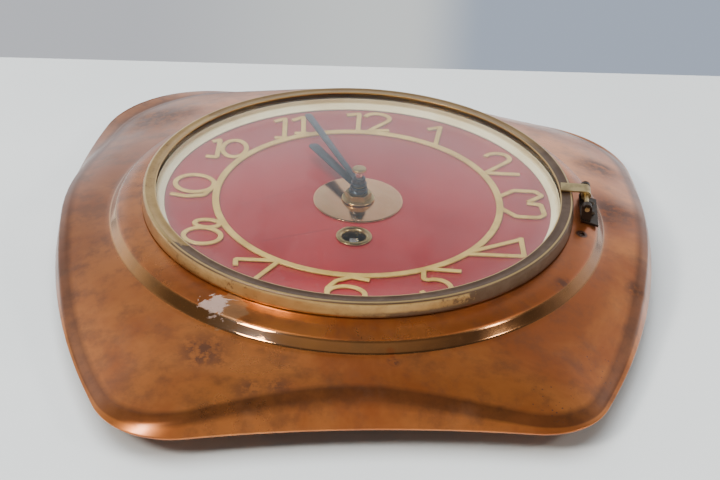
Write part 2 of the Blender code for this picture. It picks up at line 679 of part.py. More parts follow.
hour_collet = [(0, 36.9), (4.1, 36.9), (4.1, 37.7), (3.6, 38.0), (3.6, 39.3), (0, 39.3)]
minute_collet = [(0, 40.0), (3.4, 40.0), (3.4, 41.0), (2.8, 41.3), (2.8, 43.2), (0, 43.2)]
hand("hour_hand", HOUR_LEN, HOUR_W, HOUR_DIAL_DEG, 38.0, hour_collet, HOUR_PIPE_R + 0.1)
hand("minute_hand", MINUTE_LEN, MINUTE_W, MINUTE_DIAL_DEG, 40.4, minute_collet, PIPE_R + 0.1)
knob = [(0, 47.2), (PIPE_R + 0.1, 47.2), (PIPE_R + 0.1, 46.2), (2.6, 46.2), (2.95, 46.5)]
knob += [(2.95, 47.5), (2.5, 47.8), (0, 47.8)]
place("hand_nut", lathe(knob, 20), BRASS)

# ---- motion work: cannon pinion, minute wheel and hour wheel behind the dial ----
MOTION_DEG = 20.0
minute_at = polar(0, 0, MOTION_SPAN, MOTION_DEG)
cannon_tube = [(1.0, 26.4), (1.9, 26.4), (1.9, 28.0), (PIPE_R, 28.0), (PIPE_R, 46.9)]
cannon_tube += [(0, 46.9), (0, 31.0), (1.0, 31.0)]


def tube_with_tip(profile, segments=16):
    """A turned piece that is hollow at its foot and solid at its top."""
    bm = bmesh.new()
    loops = []
    for r, z in profile:
        if r < 1e-6:
            loops.append([bm.verts.new((0, 0, z))])
        else:
            loops.append([bm.verts.new((x, y, z)) for x, y in circle(r, n=segments)])
    ring_faces(bm, loops[:6], False)
    ring_faces(bm, [loops[6], loops[7], loops[0]], False)
    return bm


cannon = place("cannon_pinion", tube_with_tip(cannon_tube), STEEL)
cannon_leaves = gear(CANNON_LEAVES, CANNON_MODULE, 0.0, 0.44, 0.7, 0.95)
fuse(cannon, [prism(cannon_leaves, 26.5, 27.7, [circle(1.3, n=16)])])
minute_turn = meshed(MINUTE_TEETH, CANNON_LEAVES, math.radians(MOTION_DEG))
minute_outline = gear(MINUTE_TEETH, CANNON_MODULE, minute_turn, 0.44, 0.7, 1.05)
minute_disc = prism(minute_outline, 26.7, 27.4, [circle(1.0, n=16)])
minute_wheel = place("minute_wheel", minute_disc, BRASS, (*minute_at, 0))
minute_pinion_outline = gear(MINUTE_LEAVES, HOUR_MODULE, 0.0, 0.44, 0.7, 0.95)
fuse(minute_wheel, [prism(minute_pinion_outline, 27.2, 29.3, [circle(1.0, n=16)])])
hour_turn = meshed(HOUR_TEETH, MINUTE_LEAVES, math.radians(MOTION_DEG + 180))
hour_outline = gear(HOUR_TEETH, HOUR_MODULE, hour_turn, 0.44, 0.7, 1.05)
pipe_bore = PIPE_R + GAP
hour_wheel = place("hour_wheel", prism(hour_outline, 28.3, 29.0, [circle(pipe_bore, n=16)]), BRASS)
pipe = lathe(disc(HOUR_PIPE_R, 28.5, 39.6, pipe_bore), 16)
fuse(hour_wheel, [pipe])

# ---- plates and pillars: two brass plates held apart by four turned pillars ----
third_at = polar(0, 0, CENTRE_MODULE * (CENTRE_TEETH + THIRD_LEAVES) / 2, THIRD_DEG)
fourth_at = polar(*third_at, THIRD_MODULE * (THIRD_TEETH + FOURTH_LEAVES) / 2, FOURTH_DEG)
escape_at = polar(*fourth_at, FOURTH_MODULE * (FOURTH_TEETH + ESCAPE_LEAVES) / 2, ESCAPE_DEG)
lever_at = polar(*escape_at, LEVER_SPAN, 0.0)
balance_at = polar(*lever_at, BALANCE_SPAN, 0.0)
wind_at = (0.0, WIND_Y)
plate = [(-40, -50), (-36, -56), (36, -56), (40, -50), (40, 38), (34, 44), (-34, 44), (-40, 38)]
pivots = [(0, 0), third_at, fourth_at, escape_at, lever_at, balance_at]


def plate_holes(pivot_r, wind_r, centre_r):
    holes = [circle(2.0, *p, 8) for p in PILLARS]
    holes += [circle(pivot_r, *p, 8) for p in pivots[1:]]
    holes += [circle(centre_r, n=10), circle(wind_r, *wind_at, 14)]
    return holes


front_low, front_high = FRONT_PLATE_Z - PLATE_T, FRONT_PLATE_Z
front = place("front_plate", prism(plate, front_low, front_high, plate_holes(0.7, 2.3, 1.0)), BRASS)
fuse(front, [prism(circle(0.8, *minute_at, 12), front_low + 0.4, 29.6)])
back_low, back_high = BACK_PLATE_Z, BACK_PLATE_Z + PLATE_T
place("back_plate", prism(plate, back_low, back_high, plate_holes(0.7, 2.3, 0.7)), BRASS)
for n, at in enumerate(PILLARS):
    body = [(0, 3.0), (1.7, 3.0), (1.7, back_high + 0.3), (PILLAR_R, back_high + 0.3)]
    body += [(PILLAR_R, front_low - 0.3), (1.7, front_low - 0.3), (1.7, 29.8), (0, 29.8)]
    place(f"pillar_{n + 1}", lathe(body, 10), BRASS, (*at, 0))


# ---- going train: toothed wheels and their leaf pinions on steel arbors ----
PIVOT_R = 0.6


def arbor(r):
    """Profile of an arbor with a pivot in each plate and a shoulder clear of both."""
    low, high = back_low + GAP, front_high - GAP
    foot, head = back_high + GAP, front_low - GAP
    profile = [(0, low), (PIVOT_R, low), (PIVOT_R, foot), (r, foot), (r, head), (PIVOT_R, head)]
    return profile + [(PIVOT_R, high), (0, high)]


def wheel(name, at, teeth, module, turn, z, thick, pinion, pinion_z, arbor_r=0.9, spokes=4):
    """A spoked wheel with its arbor and, if given, a pinion of (leaves, module, turn)."""
    pitch_r = teeth * module / 2
    holes = windows(pitch_r * 0.3, pitch_r - 2.6 * module - 0.6, spokes, pitch_r * 0.06 + 0.4)
    obj = place(name, prism(gear(teeth, module, turn), z, z + thick, holes), BRASS, (*at, 0))
    parts = [lathe(arbor(arbor_r), 8)]
    if pinion:
        leaves, p_module, p_turn = pinion
        parts.append(prism(gear(leaves, p_module, p_turn, 0.44, 0.7, 0.95), *pinion_z))
    return fuse(obj, parts)


great_turn = 0.0
centre_pinion_turn = meshed(CENTRE_LEAVES, GREAT_TEETH, math.radians(90), great_turn)
centre_at = (0.0, 0.0)
centre_wheel = wheel(
    "centre_wheel", centre_at, CENTRE_TEETH, CENTRE_MODULE, 0.0, 16.6, 1.0,
    (CENTRE_LEAVES, GREAT_MODULE, centre_pinion_turn), (19.2, 22.8),
)
fuse(centre_wheel, [lathe(disc(0.7, 20.0, 30.6), 8)])
third_turn = meshed(THIRD_LEAVES, CENTRE_TEETH, math.radians(THIRD_DEG))
wheel(
    "third_wheel", third_at, THIRD_TEETH, THIRD_MODULE, 0.0, 12.4, 0.9,
    (THIRD_LEAVES, CENTRE_MODULE, third_turn), (15.6, 18.6),
)
fourth_turn = meshed(FOURTH_LEAVES, THIRD_TEETH, math.radians(FOURTH_DEG))
wheel(
    "fourth_wheel", fourth_at, FOURTH_TEETH, FOURTH_MODULE, 0.0, 9.2, 0.8,
    (FOURTH_LEAVES, THIRD_MODULE, fourth_turn), (11.4, 14.2), 0.8,
)
escape_turn = meshed(ESCAPE_LEAVES, FOURTH_TEETH, math.radians(ESCAPE_DEG))


def escape_outline():
    out = []
    for k in range(ESCAPE_TEETH):
        a = math.tau * k / ESCAPE_TEETH
        pitch = math.tau / ESCAPE_TEETH
        for share, r in ((0.0, 5.2), (0.05, ESCAPE_R), (0.12, ESCAPE_R), (0.34, 5.2)):
            out.append((r * math.cos(a + share * pitch), r * math.sin(a + share * pitch)))
    return out


escape = place(
    "escape_wheel", prism(escape_outline(), 14.4, 15.2, windows(1.8, 4.4, 4, 0.5)), BRASS, (*escape_at, 0)
)
escape_pinion = gear(ESCAPE_LEAVES, FOURTH_MODULE, escape_turn, 0.44, 0.7, 0.95)
fuse(escape, [lathe(arbor(0.8), 8), prism(escape_pinion, 8.4, 11.0)])

# ---- lever and balance: pin-pallet lever, balance with its staff, hairspring and index ----
fork = [(1.6, -0.9), (6.4, -0.5), (7.6, -1.1), (7.6, -0.4), (6.8, 0.0), (7.6, 0.4), (7.6, 1.1)]
fork += [(6.4, 0.5), (1.6, 0.9), (0.4, 1.4), (-2.5, 4.7), (-3.4, 4.6), (-3.4, 3.7), (-1.2, 0.8)]
fork += [(-1.2, -0.8), (-3.4, -3.7), (-3.4, -4.6), (-2.5, -4.7), (0.4, -1.4)]
lever = place("pallet_lever", prism(fork, 16.0, 16.7), STEEL, (*lever_at, 0))
pallet_pins = [prism(circle(0.35, -2.9, y, 10), 14.2, 16.3) for y in (-4.05, 4.05)]
fuse(lever, [lathe(arbor(0.9), 8), *pallet_pins])
rim_holes = windows(1.6, BALANCE_R - 1.2, 2, 0.7)
balance_disc = prism(circle(BALANCE_R, n=30), 18.2, 19.4, rim_holes)
balance = place("balance_wheel", balance_disc, BRASS, (*balance_at, 0))
fuse(balance, [lathe(arbor(0.9), 8)])


def spiral(bm, r0, r1, turns, width, z0, z1, per_turn, start=0.0):
    """A flat strip wound into a spiral."""
    count = int(turns * per_turn)
    path = []
    for i in range(count + 1):
        t = i / count
        a = start + math.tau * turns * t
        r = r0 + (r1 - r0) * t
        path.append((r * math.cos(a), r * math.sin(a)))
    band(bm, path, width, z0, z1)
    return bm


place("hairspring", spiral(bmesh.new(), 1.5, 5.6, 3, 0.25, 21.0, 21.8, 10), BLUED, (*balance_at, 0))
index_low, index_high = back_low - 1.0, back_low - GAP
index_ring = prism(circle(2.6, n=20), index_low, index_high, [circle(1.4, n=16)])
index = place("regulator_index", index_ring, STEEL, (*balance_at, 0))
fuse(index, [prism([(2.0, -0.7), (9.4, -0.4), (9.4, 0.4), (2.0, 0.7)], index_low, index_high)])

# ---- mainspring and winding: great wheel, open spring, squared arbor, ratchet and click ----
great_low, great_high = 20.2, 21.6
great_bore = [circle(2.1, n=16)]
great_disc = prism(gear(GREAT_TEETH, GREAT_MODULE, great_turn), great_low, great_high, great_bore)
great = place("great_wheel", great_disc, BRASS, (*wind_at, 0))
ratchet_low, ratchet_high = great_high + 0.9, great_high + 2.1
place("mainspring", spiral(bmesh.new(), 3.2, 19.0, 6, 0.5, 7.4, 15.0, 12), BLUED, (*wind_at, 0))
square_low, square_high = front_high + GAP, front_high + 4.4
wind_foot, wind_neck = back_high + 1.3, great_low - 0.6
core = [(0, back_low + GAP), (2.0, back_low + GAP), (2.0, wind_foot), (2.6, wind_foot), (2.6, wind_neck)]
core += [(1.9, wind_neck), (1.9, square_low + 0.5), (0, square_low + 0.5)]


def ratchet_outline():
    out = []
    step = math.tau / RATCHET_TEETH
    for k in range(RATCHET_TEETH):
        a = k * step
        for share, r in ((0.0, RATCHET_R - 1.3), (0.8, RATCHET_R), (0.98, RATCHET_R)):
            out.append((r * math.cos(a + share * step), r * math.sin(a + share * step)))
    return out


winding = place("winding_arbor", prism(ratchet_outline(), ratchet_low, ratchet_high), STEEL, (*wind_at, 0))
square = [(1.75, 1.75), (-1.75, 1.75), (-1.75, -1.75), (1.75, -1.75)]
fuse(winding, [lathe(core, 20), prism(square, square_low, square_high)])
CLICK_AT = (0.0, -14.0)
click_at = (wind_at[0] + CLICK_AT[0], wind_at[1] + CLICK_AT[1], 0)
beak = ((9.5, -125.0), (9.4, -141.0), (7.95, -148.6), (9.9, -149.2), (11.6, -143.0), (12.2, -125.0))
click = [(-1.6, -1.2), (0.2, -1.9), (1.9, -0.4), (1.6, 1.3), (0.6, 2.4)]
for r, deg in beak:
    x, y = polar(0, 0, r, deg)
    click.append((x - CLICK_AT[0], y - CLICK_AT[1]))
click.append((-1.9, 0.6))
place("click", prism(click, ratchet_low, ratchet_high, [circle(0.9, n=12)]), STEEL, click_at)
stud = [(0, 22.0), (0.8, 22.0), (0.8, 24.2), (0, 24.2)]
fuse(great, [prism(circle(0.8, *CLICK_AT, 12), 21.0, 24.1)])
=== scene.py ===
"""Looks of a key-wound copper wall clock lying on its back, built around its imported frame.

Sizes are in millimetres and MM turns them into the frame's metres. +Z points out of the dial,
+Y to XII and +X to III. The case's rim, which touches a wall, is z = 0, and the table is just under it.
"""
import math

import bmesh
import bpy
from mathutils import Matrix, Vector


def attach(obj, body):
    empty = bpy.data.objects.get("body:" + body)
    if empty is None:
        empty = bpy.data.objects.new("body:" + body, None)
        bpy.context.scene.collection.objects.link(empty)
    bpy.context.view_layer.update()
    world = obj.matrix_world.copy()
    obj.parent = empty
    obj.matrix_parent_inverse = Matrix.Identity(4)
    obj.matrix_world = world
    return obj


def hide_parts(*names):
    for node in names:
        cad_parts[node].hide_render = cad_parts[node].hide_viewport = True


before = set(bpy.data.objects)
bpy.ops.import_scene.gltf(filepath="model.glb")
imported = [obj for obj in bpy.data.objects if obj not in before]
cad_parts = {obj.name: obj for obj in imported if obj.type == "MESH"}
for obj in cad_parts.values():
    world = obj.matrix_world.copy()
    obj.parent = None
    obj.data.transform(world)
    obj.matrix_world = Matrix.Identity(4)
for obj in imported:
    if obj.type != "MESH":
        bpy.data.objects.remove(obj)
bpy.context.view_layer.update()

MM = 0.001

# ---- where the viewer stands ----
# Someone leaning over the table at the clock's 6 o'clock side, a good arm's length away,
# with a long lens held a little out of level.
VIEW_DISTANCE = 838.7
VIEW_RISE = 30.23
VIEW_TURN = 1.9
VIEW_ROLL = 2.55
VIEW_AIM_SIDE = -0.109
VIEW_AIM_DOWN = 1.182
DIAL_PLANE_Z = 33.0


def turn_about(axis, degrees):
    return Matrix.Rotation(math.radians(degrees), 4, axis)


lens = bpy.data.cameras.new("viewer")
lens.lens = 100.0
lens.sensor_width = 36.0
lens.clip_start = 0.01
viewer = bpy.data.objects.new("viewer", lens)
bpy.context.scene.collection.objects.link(viewer)
rise = math.radians(VIEW_RISE)
stand = Vector((0, -math.cos(rise), math.sin(rise))) * VIEW_DISTANCE
stand = turn_about("Z", VIEW_TURN) @ stand + Vector((0, 0, DIAL_PLANE_Z))
aim = turn_about("Z", VIEW_TURN) @ turn_about("X", 90 - VIEW_RISE) @ turn_about("Y", VIEW_AIM_SIDE)
aim = aim @ turn_about("X", -VIEW_AIM_DOWN) @ turn_about("Z", VIEW_ROLL)
viewer.matrix_world = Matrix.Translation(stand * MM) @ aim
bpy.context.scene.camera = viewer


# ---- table, room and light ----
# A pale satin table top that ends a little way behind the clock, with a plain room around it that
# is brightest ahead of the viewer. A broad ceiling light and two small windows light it softly.
class Wire:
    """One output of a shader node; sums written with it add Math nodes beside it."""

    def __init__(self, look, output):
        self.look, self.output = look, output

    def math(self, operation, *others):
        sockets = dict(enumerate((self, *others)))
        return self.look.node("ShaderNodeMath", {"operation": operation}, sockets)

    def __add__(self, other):
        return self.math("ADD", other)

    def __sub__(self, other):
        return self.math("SUBTRACT", other)

    def __rsub__(self, other):
        return (self * -1.0).math("ADD", other)

    def __mul__(self, other):
        return self.math("MULTIPLY", other)

    def __truediv__(self, other):
        return self.math("DIVIDE", other)

    __radd__ = __add__
    __rmul__ = __mul__

    def power(self, exponent):
        return self.math("POWER", exponent)

    def least(self, other):
        return self.math("MINIMUM", other)

    def most(self, other):
        return self.math("MAXIMUM", other)

    def ease(self, low, high):
        """0 below low, 1 above high and smooth between; high may be the smaller."""
        sockets = {"Value": self, "From Min": low, "From Max": high}
        settings = {"interpolation_type": "SMOOTHSTEP"}
        return self.look.node("ShaderNodeMapRange", settings, sockets)


SCRATCH_STRETCH = 26.0


class Look:
    """A material, or the world, and the few nodes that its finish is written with."""

    def __init__(self, owner):
        owner.use_nodes = True
        self.owner, self.tree = owner, owner.node_tree
        self.tree.nodes.clear()

    def node(self, kind, settings=None, sockets=None, out=0):
        """Adds any node: its settings first, then its sockets' values or links."""
        made = self.tree.nodes.new(kind)
        for name, value in (settings or {}).items():
            if name == "stops":
                ramp = made.color_ramp
                while len(ramp.elements) < len(value):
                    ramp.elements.new(0.5)
                for element, (position, colour) in zip(ramp.elements, value):
                    element.position = position
                    element.color = (*colour, 1.0)
            else:
                setattr(made, name, value)
        for name, value in (sockets or {}).items():
            socket = made.inputs[name]
            if isinstance(value, Wire):
                self.tree.links.new(value.output, socket)
            elif socket.type == "RGBA" and len(value) == 3:
                socket.default_value = (*value, 1.0)
            else:
                socket.default_value = value
        return Wire(self, made.outputs[out]) if len(made.outputs) else None

    def where(self, stretch=(1.0, 1.0, 1.0)):
        """Place on the object in metres, squeezed along its axes by stretch."""
        place = self.node("ShaderNodeTexCoord", out="Object")
        if stretch == (1.0, 1.0, 1.0):
            return place
        sockets = {"Vector": place, "Scale": stretch}
        return self.node("ShaderNodeMapping", {"vector_type": "POINT"}, sockets)

    def noise(self, scale, detail=4.0, rough=0.55, stretch=(1.0, 1.0, 1.0), twist=0.0):
        sockets = {"Vector": self.where(stretch), "Scale": scale, "Detail": detail}
        sockets.update({"Roughness": rough, "Distortion": twist})
        return self.node("ShaderNodeTexNoise", {}, sockets)

    def specks(self, scale):
        """Distance to the nearest of scattered points, in units of their spacing."""
        sockets = {"Vector": self.where(), "Scale": scale, "Randomness": 1.0}
        return self.node("ShaderNodeTexVoronoi", {"feature": "F1"}, sockets)

    def scratches(self, scale, degrees):
        """Fine lines that run one way: noise drawn out along a turned axis."""
        sockets = {"Vector": self.where(), "Rotation": (0, 0, math.radians(degrees))}
        sockets["Scale"] = (1.0, SCRATCH_STRETCH, 1.0)
        turned = self.node("ShaderNodeMapping", {"vector_type": "POINT"}, sockets)
        return self.node("ShaderNodeTexNoise", {}, {"Vector": turned, "Scale": scale, "Detail": 3.0})

    def from_point(self, x, y, z):
        """Distance in millimetres from a point given in millimetres."""
        settings = {"operation": "DISTANCE"}
        sockets = {0: self.where(), 1: (x * MM, y * MM, z * MM)}
        return self.node("ShaderNodeVectorMath", settings, sockets, "Value") / MM

    def parts(self):
        """The X, Y and Z of a place in millimetres."""
        split = self.node("ShaderNodeSeparateXYZ", {}, {"Vector": self.where()})
        outputs = split.output.node.outputs
        return [Wire(self, outputs[i]) / MM for i in range(3)]

    def radius(self, x, y):
        return (x * x + y * y).power(0.5)

    def mix(self, a, b, share):
        """Colour a turned into colour b by share."""
        settings = {"data_type": "RGBA", "blend_type": "MIX", "clamp_factor": True}
        return self.node("ShaderNodeMix", settings, {0: share, 6: a, 7: b}, 2)

    def bump(self, height, depth, strength):
        """A normal from a height of 0 to 1 that stands for depth millimetres."""
        sockets = {"Height": height, "Distance": depth * MM, "Strength": strength}
        return self.node("ShaderNodeBump", {}, sockets)

    def surface(self, **sockets):
        """The Principled shader; underscores in names stand for spaces."""
        named = {name.replace("_", " "): value for name, value in sockets.items()}
        shader = self.node("ShaderNodeBsdfPrincipled", {}, named)
        self.node("ShaderNodeOutputMaterial", {}, {"Surface": shader})
        return self.owner


def finish_named(name):
    return Look(bpy.data.materials.new(name))


TABLE_EDGE_Y, TABLE_EDGE_SLOPE = 190.5, 0.074
TABLE_Z = -0.08
TABLE_NEAR = -1400.0
TABLE_HALF = 1500.0
TABLE_CUTS = 3


def flat_sheet(name, corners):
    bm = bmesh.new()
    bm.faces.new([bm.verts.new(Vector(c) * MM) for c in corners])
    bmesh.ops.subdivide_edges(bm, edges=bm.edges, cuts=TABLE_CUTS, use_grid_fill=True)
    data = bpy.data.meshes.new(name)
    bm.to_mesh(data)
    bm.free()
    sheet = bpy.data.objects.new(name, data)
    bpy.context.scene.collection.objects.link(sheet)
    return sheet


table = finish_named("table_top")
grain = table.noise(9.0, 3.0)
table_white = table.mix((0.65, 0.675, 0.68), (0.70, 0.72, 0.72), grain.ease(0.3, 0.7))
table_far = [TABLE_EDGE_Y + side * TABLE_HALF * TABLE_EDGE_SLOPE for side in (1, -1)]
table_top = flat_sheet("table", [
    (-TABLE_HALF, TABLE_NEAR, TABLE_Z), (TABLE_HALF, TABLE_NEAR, TABLE_Z),
    (TABLE_HALF, table_far[0], TABLE_Z), (-TABLE_HALF, table_far[1], TABLE_Z),
])
table_finish = table.surface(Base_Color=table_white, Roughness=grain * 0.1 + 0.25, Coat_Weight=0.3)
table_top.data.materials.append(table_finish)

AHEAD_LIGHT, NEAR_LIGHT, ROOM_LIGHT, WALL_LIGHT = 1.25, 0.34, 0.03, 0.84
if bpy.context.scene.world is None:
    bpy.context.scene.world = bpy.data.worlds.new("room")
room = Look(bpy.context.scene.world)
heading = room.node("ShaderNodeTexCoord", out="Generated")
apart = room.node("ShaderNodeSeparateXYZ", {}, {"Vector": heading}).output.node.outputs
across, ahead, upward = (Wire(room, apart[k]) for k in range(3))
window_wall = ahead.ease(-0.1, 0.7) * upward.ease(0.92, 0.2)
near_wall = ahead.ease(-0.3, -0.9) * upward.ease(0.95, 0.5) * NEAR_LIGHT
above = window_wall * AHEAD_LIGHT + near_wall + upward.ease(1.0, 0.7) * 0.08 + ROOM_LIGHT
below = upward.ease(-0.02, -0.1)
lightness = above * (1.0 - below) + below * WALL_LIGHT
room_tint = room.mix((1.0, 0.93, 0.86), (0.90, 0.95, 1.0), ahead.ease(-0.5, 0.6))
wall_tint = room.mix((0.72, 0.74, 0.79), (0.96, 1.0, 1.0), across.ease(-0.15, -0.02))
wall_tint = room.mix(wall_tint, (0.50, 0.58, 0.72), across.ease(-0.01, 0.03))
room_tint = room.mix(room_tint, wall_tint, below)
sky = room.node("ShaderNodeBackground", {}, {"Color": room_tint, "Strength": lightness})
room.node("ShaderNodeOutputWorld", {}, {"Surface": sky})


def soft_light(name, at, size, watts, colour=(1.0, 1.0, 1.0)):
    """A rectangular lamp that faces the clock."""
    data = bpy.data.lights.new(name, "AREA")
    data.shape = "RECTANGLE"
    data.size, data.size_y = size[0] * MM, size[1] * MM
    data.energy = watts
    data.color = colour
    lamp = bpy.data.objects.new(name, data)
    bpy.context.scene.collection.objects.link(lamp)
    lamp.location = Vector(at) * MM
    lamp.rotation_euler = (-Vector(at)).to_track_quat("-Z", "Y").to_euler()
    return lamp


ceiling = soft_light("ceiling_light", (-350, -150, 1900), (2200, 1800), 78.0, (0.95, 0.98, 1.0))
ceiling.visible_glossy = False
soft_light("left_window", (-1150, -1100, 1480), (420, 420), 34.0, (1.0, 0.96, 0.88))
soft_light("right_window", (1500, -480, 1180), (170, 260), 8.0, (1.0, 0.96, 0.88))

# ---- copper case shell ----
# One sheet of copper, spun into a round stepped shoulder and pressed into a free square plate
# with a bevelled crease and a folded rim, then polished and lacquered. It has darkened with age.
# The dark line along the crease, the darker right end of the step band and the dark ring round the small
# hole are painted shade.
SHELL_LOOK = "copper_shell"
CORNERS = ((94.0, -128.0), (113.0, 110.0), (-111.0, 132.0), (-79.0, -151.0))
SIDE_BOWS = (21.5, 7.0, 31.0, -7.5)
CORNER_CUTS = (20.0, 35.0, 40.0, 25.0)
CREASE_INSET = (8.4, 3.5, 3.4, 3.1, 5.8, 9.0, 2.4, 2.6)
CREASE_Z = (22.2, 12.8) * 4
RIM_Z = 10.5
SHEET = 1.0
STEP_FOOT_R, STEP_FOOT_Z = 104.0, 25.0
RIM_TRIM = 0.25
SIDE_STEPS, CORNER_STEPS = 30, 26
CORNER_PULL = 0.385
SMALL_HOLE, SMALL_HOLE_R = (93.2, -15.6), 1.5
HINGE_HOLES, HINGE_HOLE_R = ((98.0, 0.4), (98.0, 8.4)), 1.0
HOLE_LOW, HOLE_HIGH = 24.0, 36.0


def loose(name, bm):
    """Turns a mesh drawn in millimetres into an object in the frame's metres."""
    bmesh.ops.recalc_face_normals(bm, faces=bm.faces)
    bmesh.ops.scale(bm, vec=(MM, MM, MM), verts=bm.verts)
    data = bpy.data.meshes.new(name)
    bm.to_mesh(data)
    bm.free()
    made = bpy.data.objects.new(name, data)
    bpy.context.scene.collection.objects.link(made)
    return made


def piece(name, bm, material, body, slot, *nodes, smooth=40.0):
    """Makes a mesh drawn in millimetres into a piece that stands for the nodes named."""
    made = loose(name, bm)
    made.data.materials.append(material)
    for face in made.data.polygons:
        face.use_smooth = True
    made.data.set_sharp_from_angle(angle=math.radians(smooth))
    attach(made, body)
    if nodes:
        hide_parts(*nodes)
    return made


def skin(bm, loops, closed):
    """Joins loops of points with quads; a loop of one point makes a pole."""
    pairs = list(zip(loops, loops[1:])) + ([(loops[-1], loops[0])] if closed else [])
    for a, b in pairs:
        n = max(len(a), len(b))
        for i in range(n):
            j = (i + 1) % n
            face = list(dict.fromkeys([a[i % len(a)], a[j % len(a)], b[j % len(b)], b[i % len(b)]]))
            if len(face) > 2:
                bm.faces.new(face)
    return bm


def soften(corners, steps=4):
    """Rounds the corners of an (r, z, cut) path; each corner starts and ends cut away from it."""
    out = []
    for i, (r, z, cut) in enumerate(corners):
        here = Vector((r, z))
        if not cut or i in (0, len(corners) - 1):
            out.append(here)
            continue
        before = Vector(corners[i - 1][:2]) - here
        after = Vector(corners[i + 1][:2]) - here
        start = here + before.normalized() * min(cut, before.length * 0.5)
        end = here + after.normalized() * min(cut, after.length * 0.5)
        for k in range(steps + 1):
            t = k / steps
            out.append(start * (1 - t) ** 2 + here * 2 * t * (1 - t) + end * t * t)
    return out


def bowed_side(a, b, bow, t):
    """Point and heading at share t of a side that bows out from a straight line."""
    a, b = Vector(a), Vector(b)
    along = b - a
    out = Vector((along.y, -along.x)).normalized()
    point = a + along * t + out * (4 * bow * t * (1 - t))
    return point, (along + out * (4 * bow * (1 - 2 * t))).normalized()


def plate_outline():
    """The rim of the square plate: four bowed sides joined by swept corners."""
    out = []
    for i in range(4):
        a, b, c = (CORNERS[(i + k) % 4] for k in range(3))
        first = CORNER_CUTS[i] / (Vector(b) - Vector(a)).length
        last = 1 - CORNER_CUTS[(i + 1) % 4] / (Vector(b) - Vector(a)).length
        resume = CORNER_CUTS[(i + 1) % 4] / (Vector(c) - Vector(b)).length
        for k in range(SIDE_STEPS):
            share = first + (last - first) * k / SIDE_STEPS
            out.append(bowed_side(a, b, SIDE_BOWS[i], share)[0])
        p, p_dir = bowed_side(a, b, SIDE_BOWS[i], last)
        q, q_dir = bowed_side(b, c, SIDE_BOWS[(i + 1) % 4], resume)
        reach = CORNER_PULL * (q - p).length
        for k in range(CORNER_STEPS):
            t = k / CORNER_STEPS
            first_half = p * (1 - t) ** 3 + (p + p_dir * reach) * 3 * (1 - t) ** 2 * t
            out.append(first_half + (q - q_dir * reach) * 3 * (1 - t) * t * t + q * t**3)
    return out


def station(values, angle):
    """Eased value at an angle from eight stations, the first at 6 o'clock."""
    along = (angle + math.pi / 2) % math.tau / (math.tau / 8)
    k = int(along)
    t = (1 - math.cos(math.pi * (along - k))) / 2
    return values[k % 8] * (1 - t) + values[(k + 1) % 8] * t


def shell_section(rim_r, angle):
    """Outer surface from the dial hole to the rim as a rounded (r, z) path."""
    crease_r = rim_r - station(CREASE_INSET, angle)
    crease_z = station(CREASE_Z, angle)
    flat = crease_r - STEP_FOOT_R
    fall = crease_z - STEP_FOOT_Z
    middle = Vector((STEP_FOOT_R + flat * 0.5, STEP_FOOT_Z + fall * 0.40))
    crest, brow = Vector((crease_r - 1.9, crease_z + 0.15)), Vector((crease_r + 0.9, crease_z - 1.4))
    before = crest.lerp(middle, min(3.4 / (crest - middle).length, 0.6))
    after = brow.lerp(Vector((rim_r - 0.05, RIM_Z + 0.9)), 0.4)
    section = soften([
        (85.5, 32.5, 0), (90.4, 32.5, 0.3), (91.6, 32.3, 0.5), (96.5, 31.5, 2.5),
        (99.9, 29.9, 0.5), (100.9, 29.0, 0.5), (103.5, 25.5, 0.6), (105.2, 24.95, 0.8),
        (*middle, 5.0), (*before, 0), (*crest, 0.9), (*brow, 0.9), (*after, 0),
        (rim_r - 0.05, RIM_Z + 0.9, 0.6), (rim_r - 0.5, RIM_Z, 0.4), (rim_r - SHEET - 0.2, RIM_Z, 0),
    ])
    # The third value is 1 along the crease, where the copper gets painted shade.
    return [(r, z, 1.0 if before.x + 0.6 < r < after.x - 0.1 else 0.0) for r, z in section]


def copper_case():
    """The whole sheet, outside and inside; the crease attribute is 1 where painted shade darkens the
    crease.
    """
    outer = []
    for p in plate_outline():
        angle = math.atan2(p.y, p.x)
        section = shell_section(p.length - RIM_TRIM, angle)
        outer.append([(math.cos(angle), math.sin(angle), r, z, painted_shade) for r, z, painted_shade in section])
    count = len(outer[0])
    bm = bmesh.new()
    painted_shade_layer = bm.verts.layers.float.new("crease")
    loops = []
    for k in range(count):
        loops.append([])
        for c, s, r, z, painted_shade in (ray[k] for ray in outer):
            loops[-1].append(bm.verts.new((c * r, s * r, z)))
            loops[-1][-1][painted_shade_layer] = painted_shade
    for k in range(count - 2, -1, -1):
        under = []
        for ray in outer:
            c, s, r, z = ray[k][:4]
            before, after = ray[max(k - 1, 0)], ray[min(k + 1, count - 1)]
            normal = Vector((after[3] - before[3], before[2] - after[2])).normalized() * SHEET
            if k == 0:
                normal = Vector((0, -SHEET))
            low = max(z + normal.y, RIM_Z)
            under.append(bm.verts.new((c * (r + normal.x), s * (r + normal.x), low)))
        loops.append(under)
    return skin(bm, loops, True)


def settle(obj):
    """Makes an object's pending modifiers part of its mesh."""
    bpy.context.view_layer.update()
    seen = obj.evaluated_get(bpy.context.evaluated_depsgraph_get())
    joined = bpy.data.meshes.new_from_object(seen)
    obj.modifiers.clear()
    obj.data = joined


def merge(target, tool, operation, crossing=False):
    """Unites, cuts or intersects a piece with a loose object, which is then gone."""
    modifier = target.modifiers.new("merge", "BOOLEAN")
    modifier.use_self = crossing
    modifier.operation = operation
    modifier.solver = "EXACT"
    modifier.object = tool
    settle(target)
    bpy.data.objects.remove(tool)


